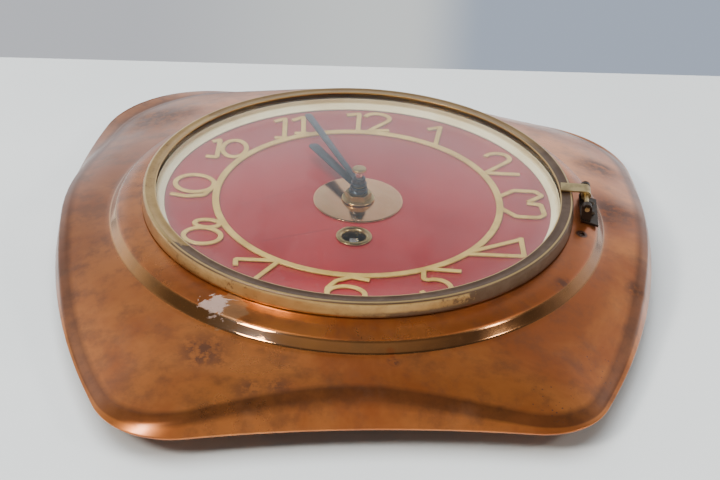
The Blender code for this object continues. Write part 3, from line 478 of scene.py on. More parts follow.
def lathe(profile, segments, at=(0.0, 0.0)):
    """Turns a closed (radius, height) profile about an upright axis; radius 0 makes a pole."""
    bm = bmesh.new()
    turn = [math.tau * i / segments for i in range(segments)]
    loops = []
    for r, z in profile:
        if r < 1e-6:
            loops.append([bm.verts.new((at[0], at[1], z))])
            continue
        ring = [(at[0] + r * math.cos(a), at[1] + r * math.sin(a), z) for a in turn]
        loops.append([bm.verts.new(point) for point in ring])
    return skin(bm, loops, not (len(loops[0]) == 1 and len(loops[-1]) == 1))


def rod(r, z0, z1):
    """Profile of a plain disc or rod."""
    return [(0.0, z0), (r, z0), (r, z1), (0.0, z1)]


copper = finish_named("aged_lacquered_copper")
x, y = copper.parts()[:2]
r = copper.radius(x, y)
cloud = copper.noise(17.0, 5.0, 0.6, twist=0.4)
fine_cloud = copper.noise(95.0, 5.0, 0.65)
dust = copper.noise(1500.0, 3.0, 0.6)
stain_edge = copper.noise(260.0, 5.0, 0.7)
STAINS = (
    (-52, -104, 21, 12), (-34, -124, 17, 8), (-22, -121, 18, 8), (85, -53, 30, 5), (116, -37, 20, 6),
    (108, 18, 23, 15), (20, -105, 24, 3), (104, 62, 20, 12), (-96, 88, 18, 20), (28, 118, 20, 14),
)
PITS = (
    (98, -84, 19, 16), (80, -112, 15, 15), (104, -92, 17, 10), (28, -121, 14, 5), (-70, 100, 19, 14),
)
stained = None
for sx, sy, sz, size in STAINS:
    blot = (copper.from_point(sx, sy, sz) + fine_cloud * size * 1.3).ease(size * 1.9, size * 0.9)
    stained = blot if stained is None else stained.most(blot)
pitted = None
for sx, sy, sz, size in PITS:
    near = copper.from_point(sx, sy, sz).ease(size, size * 0.3)
    pitted = near if pitted is None else pitted.most(near)
pits = (copper.specks(420.0) + fine_cloud * 0.25).ease(0.32, 0.16) * (pitted * 0.9 + 0.06)
on_band = r.ease(100.2, 100.9) * r.ease(104.2, 103.4)
on_shoulder = r.ease(101.0, 99.8)
crease_painted_shade = copper.node("ShaderNodeAttribute", {"attribute_name": "crease"}, out="Fac")
left_grey = x.ease(-40.0, -115.0) * y.ease(-110.0, -20.0)
warm = copper.mix((0.64, 0.212, 0.052), (0.40, 0.108, 0.027), cloud.ease(0.38, 0.66))
browned = (fine_cloud.ease(0.42, 0.75) * 0.6 + left_grey * 0.55).least(0.85)
warm = copper.mix(warm, (0.20, 0.080, 0.040), browned)
warm = copper.mix(warm, (0.13, 0.060, 0.040), stained * (stain_edge.ease(0.40, 0.56) * 0.62 + 0.24))
warm = copper.mix(warm, (0.66, 0.36, 0.13), on_band * 0.5)
flakes = copper.noise(130.0, 4.0, 0.65, stretch=(1.0, 2.4, 1.0), twist=1.0)
# Painted shade: the crease band is darkened, standing in for the dark part of the room that the rounded
# crease mirrors.
warm = copper.mix(warm, (0.13, 0.045, 0.018), crease_painted_shade * (0.45 + fine_cloud * 0.5))
# Painted shade: the step band darkens towards its right side (+X), standing in for the dark room it mirrors
# there.
warm = copper.mix(warm, (0.22, 0.085, 0.028), on_band * x.ease(-10.0, 55.0) * (0.45 + fine_cloud * 0.5))
peeled = (copper.from_point(-50.5, -83.0, 31.0) + flakes * 26.0 + stain_edge * 6.0).ease(20.6, 20.3)
half_peeled = (copper.from_point(-46.0, -86.0, 31.0) + flakes * 12.0).ease(14.2, 13.9)
warm = copper.mix(warm, (0.60, 0.34, 0.17), half_peeled * 0.55)
warm = copper.mix(warm, (0.74, 0.52, 0.44), peeled * 0.85)
warm = copper.mix(warm, (0.11, 0.06, 0.05), pits)
# Painted shade: a near-black ring round the small hole, which makes the hole read wider and deeper than it
# is drilled.
hole_painted_shade = (copper.from_point(*SMALL_HOLE, 31.4) + fine_cloud * 1.2).ease(3.6, 2.6)
warm = copper.mix(warm, (0.05, 0.03, 0.025), hole_painted_shade * 0.85)
red_spot = copper.from_point(18.4, -102.7, 27.0).ease(3.0, 1.4)
warm = copper.mix(warm, (0.50, 0.10, 0.02), red_spot * fine_cloud.ease(0.3, 0.6) * 0.8)
grey_film = copper.noise(40.0, 6.0, 0.7).ease(0.52, 0.72)
warm = copper.mix(warm, (0.26, 0.14, 0.085), grey_film * 0.22)
spin_lines = (r * 9.0 + fine_cloud * 2.0).math("SINE") * on_shoulder
copper_rough = 0.27 + cloud.ease(0.35, 0.7) * 0.12 + stained * 0.14 + grey_film * 0.10
copper_rough = copper_rough - on_band * 0.24 - on_shoulder * 0.06
copper_height = dust * 0.25 + spin_lines * 0.10 - pits * 1.6 + fine_cloud * 0.8
copper_finish = copper.surface(
    Base_Color=warm, Metallic=0.86 - peeled * 0.2 + on_band * 0.12,
    Roughness=copper_rough - peeled * 0.1,
    Coat_Weight=0.35 - stained * 0.2, Coat_Roughness=0.16,
    Normal=copper.bump(copper_height, 0.035, 0.6),
)
case = piece("copper_case", copper_case(), copper_finish, "case", SHELL_LOOK, "case_shell", smooth=50.0)
small_drill = lathe(rod(SMALL_HOLE_R, HOLE_LOW, HOLE_HIGH), 24, SMALL_HOLE)
merge(case, loose("cutter", small_drill), "DIFFERENCE")
for hole in HINGE_HOLES:
    screw_drill = lathe(rod(HINGE_HOLE_R, HOLE_LOW, HOLE_HIGH), 16, hole)
    merge(case, loose("cutter", screw_drill), "DIFFERENCE")

# ---- bezel and its glass ----
# A ring spun from brass sheet: a wall, a turned-over lip with fine tool lines, and a bright inner
# edge. Its gold lacquer has worn off the top and has gone dark on the wall from 5 to 3 o'clock.
BEZEL_R, BEZEL_LIP_R, BEZEL_TOP_Z = 90.2, 84.3, 39.5
ring_brass = finish_named("worn_gold_lacquer")
x, y, z = ring_brass.parts()
r = ring_brass.radius(x, y)
around = y.math("ARCTAN2", x) * (180 / math.pi)
patch = ring_brass.noise(70.0, 6.0, 0.7)
grit = ring_brass.noise(420.0, 5.0, 0.7)
tool_marks = ring_brass.noise(900.0, 2.0, 0.5)
ragged = around + (patch - 0.5) * 34.0 + (grit - 0.5) * 20.0
dark_wall = ragged.ease(-64.0, -58.0) * ragged.ease(24.0, 12.0)
low_rust = (z + grit * 1.6).ease(36.6, 35.2) * ragged.ease(-95.0, -78.0) * ragged.ease(-40.0, -60.0)
on_top = z.ease(38.4, 38.9)
ragged_edge = x + patch * 16.0 + grit * 7.0 + (r - 84.3) * 1.6
kept_gold = ragged_edge.ease(-50.5, -52.0).most((y + patch * 20.0).ease(48.0, 62.0) * 0.6)
rim_edge = (r - 88.9).math("ABSOLUTE").ease(0.5, 0.12) + (r - 84.5).math("ABSOLUTE").ease(0.45, 0.15)
gold = ring_brass.mix((0.58, 0.36, 0.13), (0.44, 0.25, 0.085), patch.ease(0.35, 0.7))
gold = ring_brass.mix(gold, (0.16, 0.08, 0.035), (grit.ease(0.56, 0.68) * patch.ease(0.45, 0.62)) * 0.75)
worn = ring_brass.mix((0.115, 0.068, 0.044), (0.17, 0.11, 0.072), patch.ease(0.4, 0.7))
concentric = (r * 21.0 + tool_marks * 1.5).math("SINE") * on_top
top_worn = on_top * (1.0 - kept_gold)
bare = top_worn.most(dark_wall * 0.92).most(low_rust * 0.9)
metal = ring_brass.mix(gold, worn, bare)
metal = ring_brass.mix(metal, (0.72, 0.50, 0.22), rim_edge.least(1.0) * 0.75)
ring_finish = ring_brass.surface(
    Base_Color=metal, Metallic=0.96 - bare * 0.12, Roughness=0.27 + bare * 0.16 + grit * 0.08,
    Coat_Weight=0.3 - bare * 0.2, Coat_Roughness=0.12,
    Normal=ring_brass.bump(concentric * 0.5 + grit * 0.8 + kept_gold * 1.2, 0.02, 0.7),
)
bezel_profile = soften([
    (BEZEL_R - 0.1, 33.0, 0), (BEZEL_R - 0.02, 33.7, 0.3), (BEZEL_R - 0.15, 35.0, 0.8),
    (89.75, 38.4, 0.8), (89.4, 39.15, 0.5), (88.6, BEZEL_TOP_Z - 0.02, 0.4),
    (86.6, BEZEL_TOP_Z - 0.28, 1.2), (84.9, BEZEL_TOP_Z - 0.06, 0.3),
    (BEZEL_LIP_R, BEZEL_TOP_Z - 0.15, 0.2), (BEZEL_LIP_R + 0.02, 38.85, 0.15), (85.2, 38.7, 0.2),
    (88.3, 38.65, 0.5), (88.8, 37.9, 0.4), (89.3, 33.4, 0.1), (89.5, 33.0, 0),
], 5)
piece("bezel", lathe(bezel_profile, 288), ring_finish, "bezel", "bezel_brass", "bezel_ring", smooth=60.0)

# The glass is a shallow dome held from behind by a springy brass ring. It lets light through and
# mirrors the room, more so at a grazing look, and has a thin film of dust with a few wipe marks.
GLASS_SPHERE_R, GLASS_APEX_Z, GLASS_R, GLASS_THICK = 300.0, 50.4, 87.9, 1.6
GLASS_STEPS = 24
MIRROR_SHARE = 0.17


def dome(radius, drop):
    sphere = GLASS_SPHERE_R - drop
    return GLASS_APEX_Z - drop - (sphere - math.sqrt(sphere**2 - radius**2))


steps = [GLASS_R * k / GLASS_STEPS for k in range(GLASS_STEPS + 1)]
pane_profile = [(q, dome(q, GLASS_THICK)) for q in steps]
pane_profile += [(GLASS_R + 0.05, dome(GLASS_R, 0.8))] + [(q, dome(q, 0)) for q in steps[::-1]]
pane = finish_named("domed_glass")
film = pane.noise(30.0, 5.0, 0.6, twist=1.2).ease(0.35, 0.75)
specks = pane.specks(260.0).ease(0.07, 0.03)
x, y = pane.parts()[:2]
edge_dust = pane.radius(x, y).ease(76.0, 86.0)
clear = pane.node("ShaderNodeBsdfTransparent", {}, {"Color": (0.965, 0.975, 0.97)})
mirror = pane.node("ShaderNodeBsdfGlossy", {}, {"Color": (1.0, 1.0, 1.0), "Roughness": 0.025})
haze = pane.node("ShaderNodeBsdfDiffuse", {}, {"Color": (0.86, 0.87, 0.9)})
grazing = pane.node("ShaderNodeFresnel", {}, {"IOR": 1.46})
cleaned = pane.node("ShaderNodeMixShader", {}, {0: grazing * MIRROR_SHARE, 1: clear, 2: mirror})
dust_share = film * 0.007 + specks * 0.12 + edge_dust * 0.015
dusty = pane.node("ShaderNodeMixShader", {}, {0: dust_share, 1: cleaned, 2: haze})
pane.node("ShaderNodeOutputMaterial", {}, {"Surface": dusty})
piece("glass_dome", lathe(pane_profile, 192), pane.owner, "bezel", "pane", "bezel_glass", smooth=50.0)

inside_brass = finish_named("spring_ring_brass")
tarnish = inside_brass.noise(120.0, 5.0, 0.6)
ring_tone = inside_brass.mix((0.50, 0.38, 0.20), (0.34, 0.24, 0.12), tarnish.ease(0.35, 0.7))
keeper_finish = inside_brass.surface(Base_Color=ring_tone, Metallic=1.0, Roughness=0.3 + tarnish * 0.2,
                                     Normal=inside_brass.bump(tarnish, 0.01, 0.4))
keeper = soften([
    (85.8, 34.1, 0), (88.3, 34.05, 0.3), (88.4, 34.9, 0.3), (85.9, 35.3, 0.3), (85.8, 34.1, 0),
], 3)[:-1]
piece("glass_keeper", lathe(keeper, 192), keeper_finish, "bezel", "bezel_brass", "glass_retainer")

# ---- dial plate, numerals and polished centre ----
# A steel plate sprayed in a deep red gloss. The paint has dulled a little and carries fine
# hairlines and a few specks of dust.
DIAL_R, DIAL_TOP_Z, DIAL_THICK = 81.2, 32.0, 0.8
WIND_Y = -29.5
CENTRE_BORE_R, WIND_BORE_R = 3.8, 6.0
EDGE_STEPS, EDGE_ANGLE = 2, 40.0


def ring_of(r, x=0.0, y=0.0, n=64):
    turn = [math.tau * i / n for i in range(n)]
    return [(x + r * math.cos(a), y + r * math.sin(a)) for a in turn]


def plate(outline, z0, z1, holes=()):
    """A flat plate with straight sides from an outline and its holes."""
    bm = bmesh.new()
    low = []
    for loop in (outline, *holes):
        verts = [bm.verts.new((x, y, z0)) for x, y in loop]
        low += [bm.edges.new((verts[i - 1], verts[i])) for i in range(len(verts))]
    made = bmesh.ops.triangle_fill(bm, use_beauty=True, edges=low)
    faces = [g for g in made["geom"] if isinstance(g, bmesh.types.BMFace)]
    up = bmesh.ops.extrude_face_region(bm, geom=faces, use_keep_orig=True)
    verts = [g for g in up["geom"] if isinstance(g, bmesh.types.BMVert)]
    bmesh.ops.translate(bm, vec=(0, 0, z1 - z0), verts=verts)
    return bm


def softened_edges(obj, width):
    """Rounds a piece's sharp edges a little, as tumbling or dipping does."""
    modifier = obj.modifiers.new("edges", "BEVEL")
    modifier.width = width * MM
    modifier.segments = EDGE_STEPS
    modifier.limit_method = "ANGLE"
    modifier.angle_limit = math.radians(EDGE_ANGLE)
    return obj


paint = finish_named("red_dial_paint")
mottle = paint.noise(24.0, 4.0, 0.5)
orange_peel = paint.noise(700.0, 2.0, 0.5)
hairlines = paint.scratches(160.0, 24.0).ease(0.66, 0.72)
dust_dots = paint.specks(190.0).ease(0.045, 0.02)
x, y = paint.parts()[:2]
red = paint.mix((0.27, 0.013, 0.017), (0.22, 0.010, 0.014), mottle.ease(0.35, 0.65))
red = paint.mix(red, (0.50, 0.06, 0.05), hairlines * 0.35)
# Painted shadows: two faint dark straight lines left of the centre, standing in for shadows cast across the
# dial.
upper_shadow_line = (y - x * 0.728 - 25.7).math("ABSOLUTE").ease(0.55, 0.2)
upper_shadow_line = upper_shadow_line * x.ease(-51.0, -46.0) * x.ease(-19.0, -24.0)
lower_shadow_line = (y - x * 0.478 + 19.4).math("ABSOLUTE").ease(0.6, 0.25)
lower_shadow_line = lower_shadow_line * x.ease(-40.0, -36.0) * x.ease(-6.0, -12.0)
red = paint.mix(red, (0.13, 0.010, 0.014), (upper_shadow_line + lower_shadow_line) * 0.55)
red = paint.mix(red, (0.62, 0.42, 0.36), dust_dots * 0.8)
paint_finish = paint.surface(
    Base_Color=red, Roughness=0.34 + mottle * 0.08 + hairlines * 0.15, Coat_Weight=0.1 + mottle * 0.1,
    Coat_Roughness=0.12, Normal=paint.bump(orange_peel * 0.4 - hairlines * 0.6, 0.006, 0.5),
)
dial_holes = [ring_of(CENTRE_BORE_R), ring_of(WIND_BORE_R, 0, WIND_Y)]
dial = plate(ring_of(DIAL_R - 0.05, n=192), DIAL_TOP_Z - DIAL_THICK, DIAL_TOP_Z, dial_holes)
softened_edges(piece("red_dial", dial, paint_finish, "case", "dial_paint", "dial_plate"), 0.12)

# The numerals and their ring are one stamping of brass with a matt gilt face. Every numeral is
# made of strokes of one width and stands on the ring like a drawn line, with pressed edges.
CHAPTER_R, CHAPTER_W, CHAPTER_Z, CHAPTER_TOP = 58.1, 2.9, 32.3, 33.0
STROKE_W, STROKE_SLOPE, STROKE_WALL = 2.1, 0.22, 0.2
STROKE_CUT, STROKE_CUT_STEPS = 0.9, 3
STROKE_LIFT = 0.012


def arc(cx, cy, rx, ry, start, end, n):
    """Points of part of an oval, from one angle to another in degrees."""
    turn = [math.radians(start + (end - start) * i / n) for i in range(n + 1)]
    return [(cx + rx * math.cos(a), cy + ry * math.sin(a)) for a in turn]


NUMERALS = [
    [(-9.2, 74.6), (-3.6, 76.4), (-3.4, 60.0)],
    arc(4.6, 73.0, 5.6, 4.6, 165, -20, 12) + [(1.6, 61.2), (10.4, 62.4)],
    [(27.6, 65.6), (33.2, 68.4), (31.2, 50.4)],
    arc(58.6, 42.6, 5.4, 4.6, 165, -20, 12) + [(53.4, 29.2), (68.2, 29.6)],
    [(59.6, 9.8), (65.4, 15.4), (74.6, 15.6), (77.4, 12.2), (71.4, 6.4)],
    [(71.0, 5.4), (76.8, 4.6), (78.2, -3.6), (75.6, -6.0), (66.4, -6.2), (59.4, 0.6)],
    [(46.2, -38.2), (69.2, -37.4), (68.0, -23.4)],
    [(68.4, -24.2), (47.4, -36.4)],
    [(44.0, -51.6), (29.0, -51.4), (29.2, -58.8)] + arc(34.0, -64.9, 6.2, 6.2, 118, -150, 18),
    [(8.0, -62.4), (1.0, -60.8), (-5.0, -64.2), (-8.0, -69.6), (-8.2, -73.0)],
    arc(-0.6, -73.4, 7.4, 5.6, 0, 360, 32),
    [(-45.4, -57.6), (-45.8, -52.8), (-28.4, -52.0), (-36.2, -65.6), (-38.8, -70.6)],
    arc(-60.3, -26.9, 5.1, 3.0, 0, 360, 28),
    arc(-61.2, -36.6, 7.6, 6.2, 0, 360, 32),
    arc(-69.4, 5.2, 8.2, 7.2, 0, 360, 34),
    [(-61.4, 2.4), (-64.4, -4.2), (-71.6, -6.0), (-78.4, -4.6)],
    [(-66.2, 42.4), (-63.0, 44.4), (-62.8, 28.8), (-67.6, 29.2)],
    arc(-56.0, 37.4, 5.2, 7.4, 0, 360, 30),
    [(-41.0, 64.4), (-36.4, 67.6), (-35.2, 47.8)],
    [(-39.6, 49.6), (-34.0, 49.6)],
    [(-33.2, 66.4), (-28.4, 70.2), (-27.2, 53.8)],
    [(-31.2, 54.6), (-25.0, 55.2)],
]


def eased_path(path):
    """The same strokes with their corners turned a little, as a punch leaves them."""
    out = [Vector(path[0])]
    for before, here, after in zip(path, path[1:], path[2:]):
        here = Vector(here)
        back, on = Vector(before) - here, Vector(after) - here
        if back.angle(-on) < math.radians(18):
            out.append(here)
            continue
        start = here + back.normalized() * min(STROKE_CUT, back.length / 3)
        end = here + on.normalized() * min(STROKE_CUT, on.length / 3)
        for k in range(STROKE_CUT_STEPS + 1):
            t = k / STROKE_CUT_STEPS
            out.append(start * (1 - t) ** 2 + here * 2 * t * (1 - t) + end * t * t)
    return out + [Vector(path[-1])]


def stroke(bm, path, width, z0, z1):
    """A flat strip with sloped shoulders along a path, closed where its ends meet."""
    closed = (Vector(path[0]) - Vector(path[-1])).length < 0.1
    path = [Vector(p) for p in path[:-1]] if closed else eased_path(path)
    n = len(path)
    rings = []
    for i, p in enumerate(path):
        before = path[i - 1] if closed or i else None
        after = path[(i + 1) % n] if closed or i < n - 1 else None
        d1 = (p - before).normalized() if before is not None else (after - p).normalized()
        d2 = (after - p).normalized() if after is not None else d1
        side = Vector((-(d1.y + d2.y), d1.x + d2.x)).normalized()
        reach = width / 2 / max(side.dot(Vector((-d1.y, d1.x))), 0.55)
        section = ((reach, z0), (-reach, z0), (-reach, z1 - STROKE_WALL), (STROKE_SLOPE - reach, z1),
                   (reach - STROKE_SLOPE, z1), (reach, z1 - STROKE_WALL))
        rings.append([bm.verts.new((p.x + side.x * q, p.y + side.y * q, h)) for q, h in section])
    skin(bm, rings, closed)
    if not closed:
        bm.faces.new(rings[0][::-1])
        bm.faces.new(rings[-1])


gilt = finish_named("matt_gilt_brass")
wear = gilt.noise(110.0, 5.0, 0.6)
peen = gilt.noise(900.0, 3.0, 0.6)
gilt_tone = gilt.mix((0.76, 0.52, 0.15), (0.58, 0.37, 0.09), wear.ease(0.35, 0.7))
gilt_tone = gilt.mix(gilt_tone, (0.40, 0.27, 0.12), wear.ease(0.66, 0.8) * 0.6)
gilt_finish = gilt.surface(Base_Color=gilt_tone, Metallic=0.45, Roughness=0.40 + wear * 0.12,
                           Normal=gilt.bump(peen, 0.012, 0.6))
CHAPTER_OUT = CHAPTER_R + CHAPTER_W
chapter = [
    (CHAPTER_R, CHAPTER_Z), (CHAPTER_OUT, CHAPTER_Z), (CHAPTER_OUT, CHAPTER_TOP - STROKE_WALL),
    (CHAPTER_OUT - STROKE_SLOPE, CHAPTER_TOP), (CHAPTER_R + STROKE_SLOPE, CHAPTER_TOP),
    (CHAPTER_R, CHAPTER_TOP - STROKE_WALL),
]
chapter_ring = lathe(chapter, 240)
numerals = piece("numerals", chapter_ring, gilt_finish, "case", "numeral_gilt", "chapter_ring", smooth=30.0)
bands = bmesh.new()
for n, path in enumerate(NUMERALS):
    lift = STROKE_LIFT * (1 + n % 3)
    stroke(bands, path, STROKE_W, CHAPTER_Z + lift, CHAPTER_TOP - lift)
merge(numerals, loose("strokes", bands), "UNION", crossing=True)
numerals.data.set_sharp_from_angle(angle=math.radians(30))

# Around the dial stands a cream lacquered ring, which hides the gap under the bezel.
cream = finish_named("cream_lacquer")
yellowed = cream.noise(45.0, 4.0, 0.6)
cream_tone = cream.mix((0.80, 0.69, 0.44), (0.68, 0.54, 0.29), yellowed.ease(0.35, 0.7))
cream_finish = cream.surface(Base_Color=cream_tone, Roughness=0.32 + yellowed * 0.12, Coat_Weight=0.2,
                             Normal=cream.bump(yellowed, 0.02, 0.3))
rehaut = soften([
    (80.9, 32.35, 0), (81.4, 32.33, 0.1), (84.5, 34.0, 0.3), (84.55, 36.2, 0.1), (84.1, 36.2, 0.1),
    (84.05, 34.3, 0.6), (80.95, 32.75, 0),
], 4)
piece("cream_ring", lathe(rehaut, 240), cream_finish, "case", "rehaut_cream", "rehaut_ring", smooth=50.0)

# A polished copper disc lies under the hands and mirrors them; the key hole has a turned eyelet.
polish = finish_named("polished_copper")
rub = polish.scratches(220.0, -35.0)
smear = polish.noise(60.0, 4.0, 0.5)
polish_tone = polish.mix((0.96, 0.58, 0.33), (0.86, 0.47, 0.24), smear.ease(0.35, 0.7))
polish_rough = 0.10 + smear * 0.08 + rub.ease(0.6, 0.75) * 0.08
polish_finish = polish.surface(Base_Color=polish_tone, Metallic=1.0, Roughness=polish_rough,
                               Normal=polish.bump(rub, 0.004, 0.35))
disc_profile = soften([
    (3.9, 32.32, 0), (18.75, 32.32, 0.1), (18.75, 32.6, 0.15), (18.3, 32.8, 0.2), (3.9, 32.8, 0),
], 3)
piece("copper_disc", lathe(disc_profile, 144), polish_finish, "case", "centre_copper", "centre_disc")

turned_brass = finish_named("turned_brass")
ground = turned_brass.noise(160.0, 5.0, 0.6)
lathe_marks = turned_brass.noise(520.0, 3.0, 0.6, stretch=(1.0, 1.0, 14.0))
brass_tone = turned_brass.mix((0.66, 0.49, 0.22), (0.46, 0.33, 0.14), ground.ease(0.4, 0.75))
brass_finish = turned_brass.surface(
    Base_Color=brass_tone, Metallic=1.0, Roughness=0.22 + ground * 0.16,
    Normal=turned_brass.bump(lathe_marks * 0.7 + ground * 0.3, 0.012, 0.5))
eyelet = soften([
    (4.75, 30.7, 0), (5.65, 30.7, 0.1), (5.65, 32.3, 0.1), (7.3, 32.32, 0.15), (7.4, 32.65, 0.2),
    (6.8, 33.05, 0.3), (5.7, 33.08, 0.3), (4.9, 32.5, 0.5), (4.72, 31.6, 0.3), (4.75, 30.7, 0),
], 4)[:-1]
key_eyelet = lathe(eyelet, 72, (0.0, WIND_Y))
piece("key_eyelet", key_eyelet, brass_finish, "case", "yellow_brass", "winding_eyelet")

# ---- dial nut and bushing ----
# The movement is held to the dial by a brass hexagon nut on a threaded bushing that comes up
# through the plate. Both are turned from bar, and the nut keeps a round flange at its foot.
NUT_BORE = 3.8
NUT_CORNER_R, NUT_FOOT_Z, NUT_TOP_Z = 5.6, 33.7, 36.48
bush = soften([
    (2.82, 29.95, 0), (7.95, 29.95, 0.15), (7.95, 30.85, 0.15), (3.5, 30.9, 0.1), (3.48, 36.5, 0.2),
    (3.2, 36.68, 0.1), (2.84, 36.66, 0),
], 3)
piece("bushing", lathe(bush, 64), brass_finish, "case", "yellow_brass", "dial_bushing")
flange = soften([
    (NUT_BORE, 33.12, 0), (6.85, 33.12, 0.2), (6.88, 33.9, 0.3), (6.3, 34.1, 0.2), (NUT_BORE, 34.1, 0),
], 3)
nut = piece("hexagon_nut", lathe(flange, 72), brass_finish, "case", "yellow_brass", "dial_nut", smooth=35.0)
six_sides = plate(ring_of(NUT_CORNER_R, n=6), NUT_FOOT_Z, NUT_TOP_Z, [ring_of(NUT_BORE - 0.02, n=72)])
hexagon = loose("hexagon", six_sides)
crown = lathe([(0, 30), (9.2, 32.9), (5.0, 36.75), (0, 36.75)], 72)
merge(hexagon, loose("crown", crown), "INTERSECT")
merge(nut, hexagon, "UNION")
softened_edges(nut, 0.1)

# ---- hands ----
# Two flat batons cut from thin steel, blued by heat, with round ends, each staked to a turned
# collet. The minute hand is held on its thin steel stem by a small flat brass knob.
HOUR_HAND, MINUTE_HAND = (42.0, 4.6, 122.0, 38.0), (64.0, 3.4, 114.0, 40.4)
BLADE_THICK = 0.5
TIP_STEPS = 12
blued = finish_named("heat_blued_steel")
flow = blued.noise(60.0, 4.0, 0.5)
brushed = blued.scratches(420.0, 30.0)
blue_tone = blued.mix((0.020, 0.030, 0.050), (0.050, 0.068, 0.095), flow.ease(0.35, 0.7))
blue_tone = blued.mix(blue_tone, (0.16, 0.17, 0.18), brushed.ease(0.66, 0.8) * 0.4)
blue_finish = blued.surface(
    Base_Color=blue_tone, Metallic=0.9, Roughness=0.26 + flow * 0.14, Coat_Weight=0.15 + flow * 0.1,
    Normal=blued.bump(brushed * 0.6 + flow * 0.4, 0.006, 0.5))


def baton(name, node, body, spec, collet, bore):
    """A hand: its flat blade, the collet staked into its root and the bore through both."""
    length, width, degrees, z = spec
    turn = math.radians(degrees)
    along = Vector((math.cos(turn), math.sin(turn)))
    side = Vector((-math.sin(turn), math.cos(turn)))
    root_half, tip_half = width * 0.36, width * 0.5
    outline = []
    for k in range(TIP_STEPS + 1):
        t = math.pi * k / TIP_STEPS - math.pi / 2
        reach = length - tip_half + tip_half * math.cos(t)
        outline.append(along * reach + side * (tip_half * math.sin(t)))
    outline += [side * root_half, side * -root_half]
    blade = plate([(p.x, p.y) for p in outline], z, z + BLADE_THICK)
    made = softened_edges(piece(name, blade, blue_finish, body, "hand_blue", node), 0.11)
    settle(made)
    merge(made, loose("collet", lathe(soften(collet, 3), 48)), "UNION")
    merge(made, loose("bore", lathe(rod(bore, z - 8, z + 8), 48)), "DIFFERENCE")
    made.data.set_sharp_from_angle(angle=math.radians(35))


hour_collet = [
    (0, 36.92, 0), (4.08, 36.92, 0.15), (4.08, 37.6, 0.3), (3.6, 37.95, 0.1), (3.58, 39.28, 0.3),
    (0, 39.28, 0),
]
baton("hour_baton", "hour_hand", "hour_pipe", HOUR_HAND, hour_collet, 2.62)
minute_collet = [
    (0, 40.02, 0), (3.38, 40.02, 0.15), (3.38, 40.95, 0.3), (2.8, 41.25, 0.1), (2.78, 43.18, 0.4),
    (0, 43.18, 0),
]
baton("minute_baton", "minute_hand", "minute_arbor", MINUTE_HAND, minute_collet, 1.62)
knob = soften([
    (0, 46.95, 0), (1.62, 46.95, 0.0), (1.62, 46.22, 0.05), (2.55, 46.22, 0.2), (2.93, 46.5, 0.15),
    (2.93, 47.45, 0.3), (2.4, 47.78, 0.5), (0, 47.74, 0),
], 4)
piece("stem_knob", lathe(knob, 48), brass_finish, "minute_arbor", "yellow_brass", "hand_nut")

# ---- arbors, levers and back screws ----
# Small parts turned or filed from bright steel and left bare: the cover's screws, the hanger's
# studs, the winding arbor and its click, the pallet lever, the regulator and the hands' stem.


def dress(material, *names):
    """Puts a finish on pieces whose shape is already right."""
    for name in names:
        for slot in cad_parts[name].material_slots:
            slot.material = material


steel = finish_named("bright_turned_steel")
sheen = steel.noise(140.0, 4.0, 0.6)
turned = steel.noise(380.0, 3.0, 0.6, stretch=(1.0, 1.0, 10.0))
steel_tone = steel.mix((0.70, 0.70, 0.71), (0.50, 0.49, 0.49), sheen.ease(0.4, 0.75))
steel_finish = steel.surface(Base_Color=steel_tone, Metallic=1.0, Roughness=0.2 + sheen * 0.16,
                             Normal=steel.bump(turned, 0.01, 0.5))
dress(steel_finish, "cover_screw_1", "cover_screw_2", "cover_screw_3", "hanger_stud_1", "hanger_stud_2",
      "winding_arbor", "click", "pallet_lever", "regulator_index", "cannon_pinion")

# ---- back cover, hanger and dial pan ----
# Drawn or punched from sheet steel and plated with zinc, which has clouded to grey. Rust has come
# through in spots and along the cover's edge, where the plating is thin.
zinc = finish_named("grey_zinc_plate")
crystals = zinc.specks(36.0)
bloom = zinc.noise(26.0, 5.0, 0.65)
rust_spots = zinc.noise(150.0, 5.0, 0.7).ease(0.66, 0.74)
x, y = zinc.parts()[:2]
edge_rust = zinc.radius(x, y).ease(80.6, 82.4) * bloom.ease(0.4, 0.6)
clouded = (crystals * 0.6 + bloom * 0.5).ease(0.2, 0.7)
zinc_tone = zinc.mix((0.42, 0.43, 0.43), (0.30, 0.31, 0.31), clouded)
zinc_tone = zinc.mix(zinc_tone, (0.20, 0.11, 0.06), (rust_spots + edge_rust * 0.5).least(1.0) * 0.7)
zinc_finish = zinc.surface(
    Base_Color=zinc_tone, Metallic=0.9 - rust_spots * 0.6, Roughness=0.42 + bloom * 0.18,
    Normal=zinc.bump(bloom + rust_spots * 0.6, 0.02, 0.5))
dress(zinc_finish, "back_cover", "hanger_plate", "dial_pan")

# ---- hinge bracket and its screws ----
# A small bracket of bronze that has gone nearly black, screwed to the case's shoulder by two
# dark screws. Its high spots are rubbed back to brown.
bronze = finish_named("darkened_bronze")
rubbed = bronze.noise(180.0, 5.0, 0.65)
bronze_tone = bronze.mix((0.050, 0.034, 0.024), (0.16, 0.10, 0.055), rubbed.ease(0.5, 0.75))
bronze_finish = bronze.surface(Base_Color=bronze_tone, Metallic=0.9, Roughness=0.34 + rubbed * 0.2,
                               Normal=bronze.bump(rubbed, 0.02, 0.6))
dress(bronze_finish, "hinge_bracket", "hinge_screw_1", "hinge_screw_2")

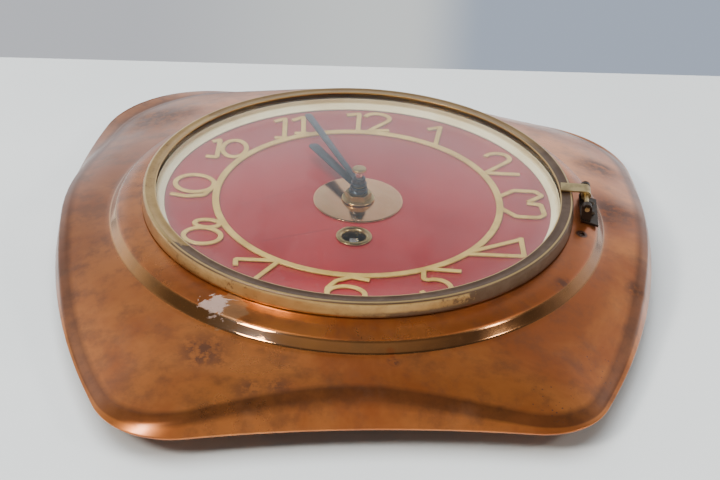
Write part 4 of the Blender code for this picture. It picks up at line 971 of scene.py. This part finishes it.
# ---- hinge strap and pin ----
# A strip of drawn brass bent down over the bezel's wall, with its end curled round a brass pin.
# Opening the glass has rubbed it bright between brown smudges.
strap_metal = finish_named("rubbed_brass_strap")
smudge = strap_metal.noise(130.0, 5.0, 0.65)
drawn = strap_metal.scratches(300.0, 0.0)
strap_tone = strap_metal.mix((0.60, 0.45, 0.21), (0.34, 0.23, 0.10), smudge.ease(0.4, 0.7))
strap_finish = strap_metal.surface(Base_Color=strap_tone, Metallic=1.0, Roughness=0.26 + smudge * 0.18,
                                   Normal=strap_metal.bump(drawn * 0.5 + smudge * 0.5, 0.012, 0.5))
dress(strap_finish, "hinge_strap", "hinge_pin")

# ---- movement plates, pillars and wheels ----
# Punched or turned from hard brass and grained one way with emery before the movement is put
# together. The grain is still clear, with a light tarnish over it.
train_brass = finish_named("grained_movement_brass")
lines = train_brass.scratches(260.0, 90.0)
tarnish = train_brass.noise(50.0, 5.0, 0.6)
train_tone = train_brass.mix((0.70, 0.52, 0.24), (0.50, 0.35, 0.14), tarnish.ease(0.4, 0.7))
train_finish = train_brass.surface(Base_Color=train_tone, Metallic=1.0, Roughness=0.26 + tarnish * 0.14,
                                   Normal=train_brass.bump(lines * 0.5 + tarnish * 0.2, 0.01, 0.5))
dress(train_finish, "front_plate", "back_plate", "pillar_1", "pillar_2", "pillar_3", "pillar_4",
      "minute_wheel", "hour_wheel", "centre_wheel", "third_wheel", "fourth_wheel", "escape_wheel",
      "great_wheel", "balance_wheel")

# ---- mainspring and hairspring ----
# Ribbons of spring steel, blued by tempering and coiled, with a thin film of old oil that dulls
# them in places.
spring_steel = finish_named("blue_spring_steel")
oil = spring_steel.noise(90.0, 4.0, 0.6)
spring_tone = spring_steel.mix((0.045, 0.065, 0.13), (0.14, 0.13, 0.14), oil.ease(0.4, 0.75))
spring_finish = spring_steel.surface(Base_Color=spring_tone, Metallic=1.0, Roughness=0.24 + oil * 0.16,
                                     Normal=spring_steel.bump(oil, 0.008, 0.4))
dress(spring_finish, "mainspring", "hairspring")
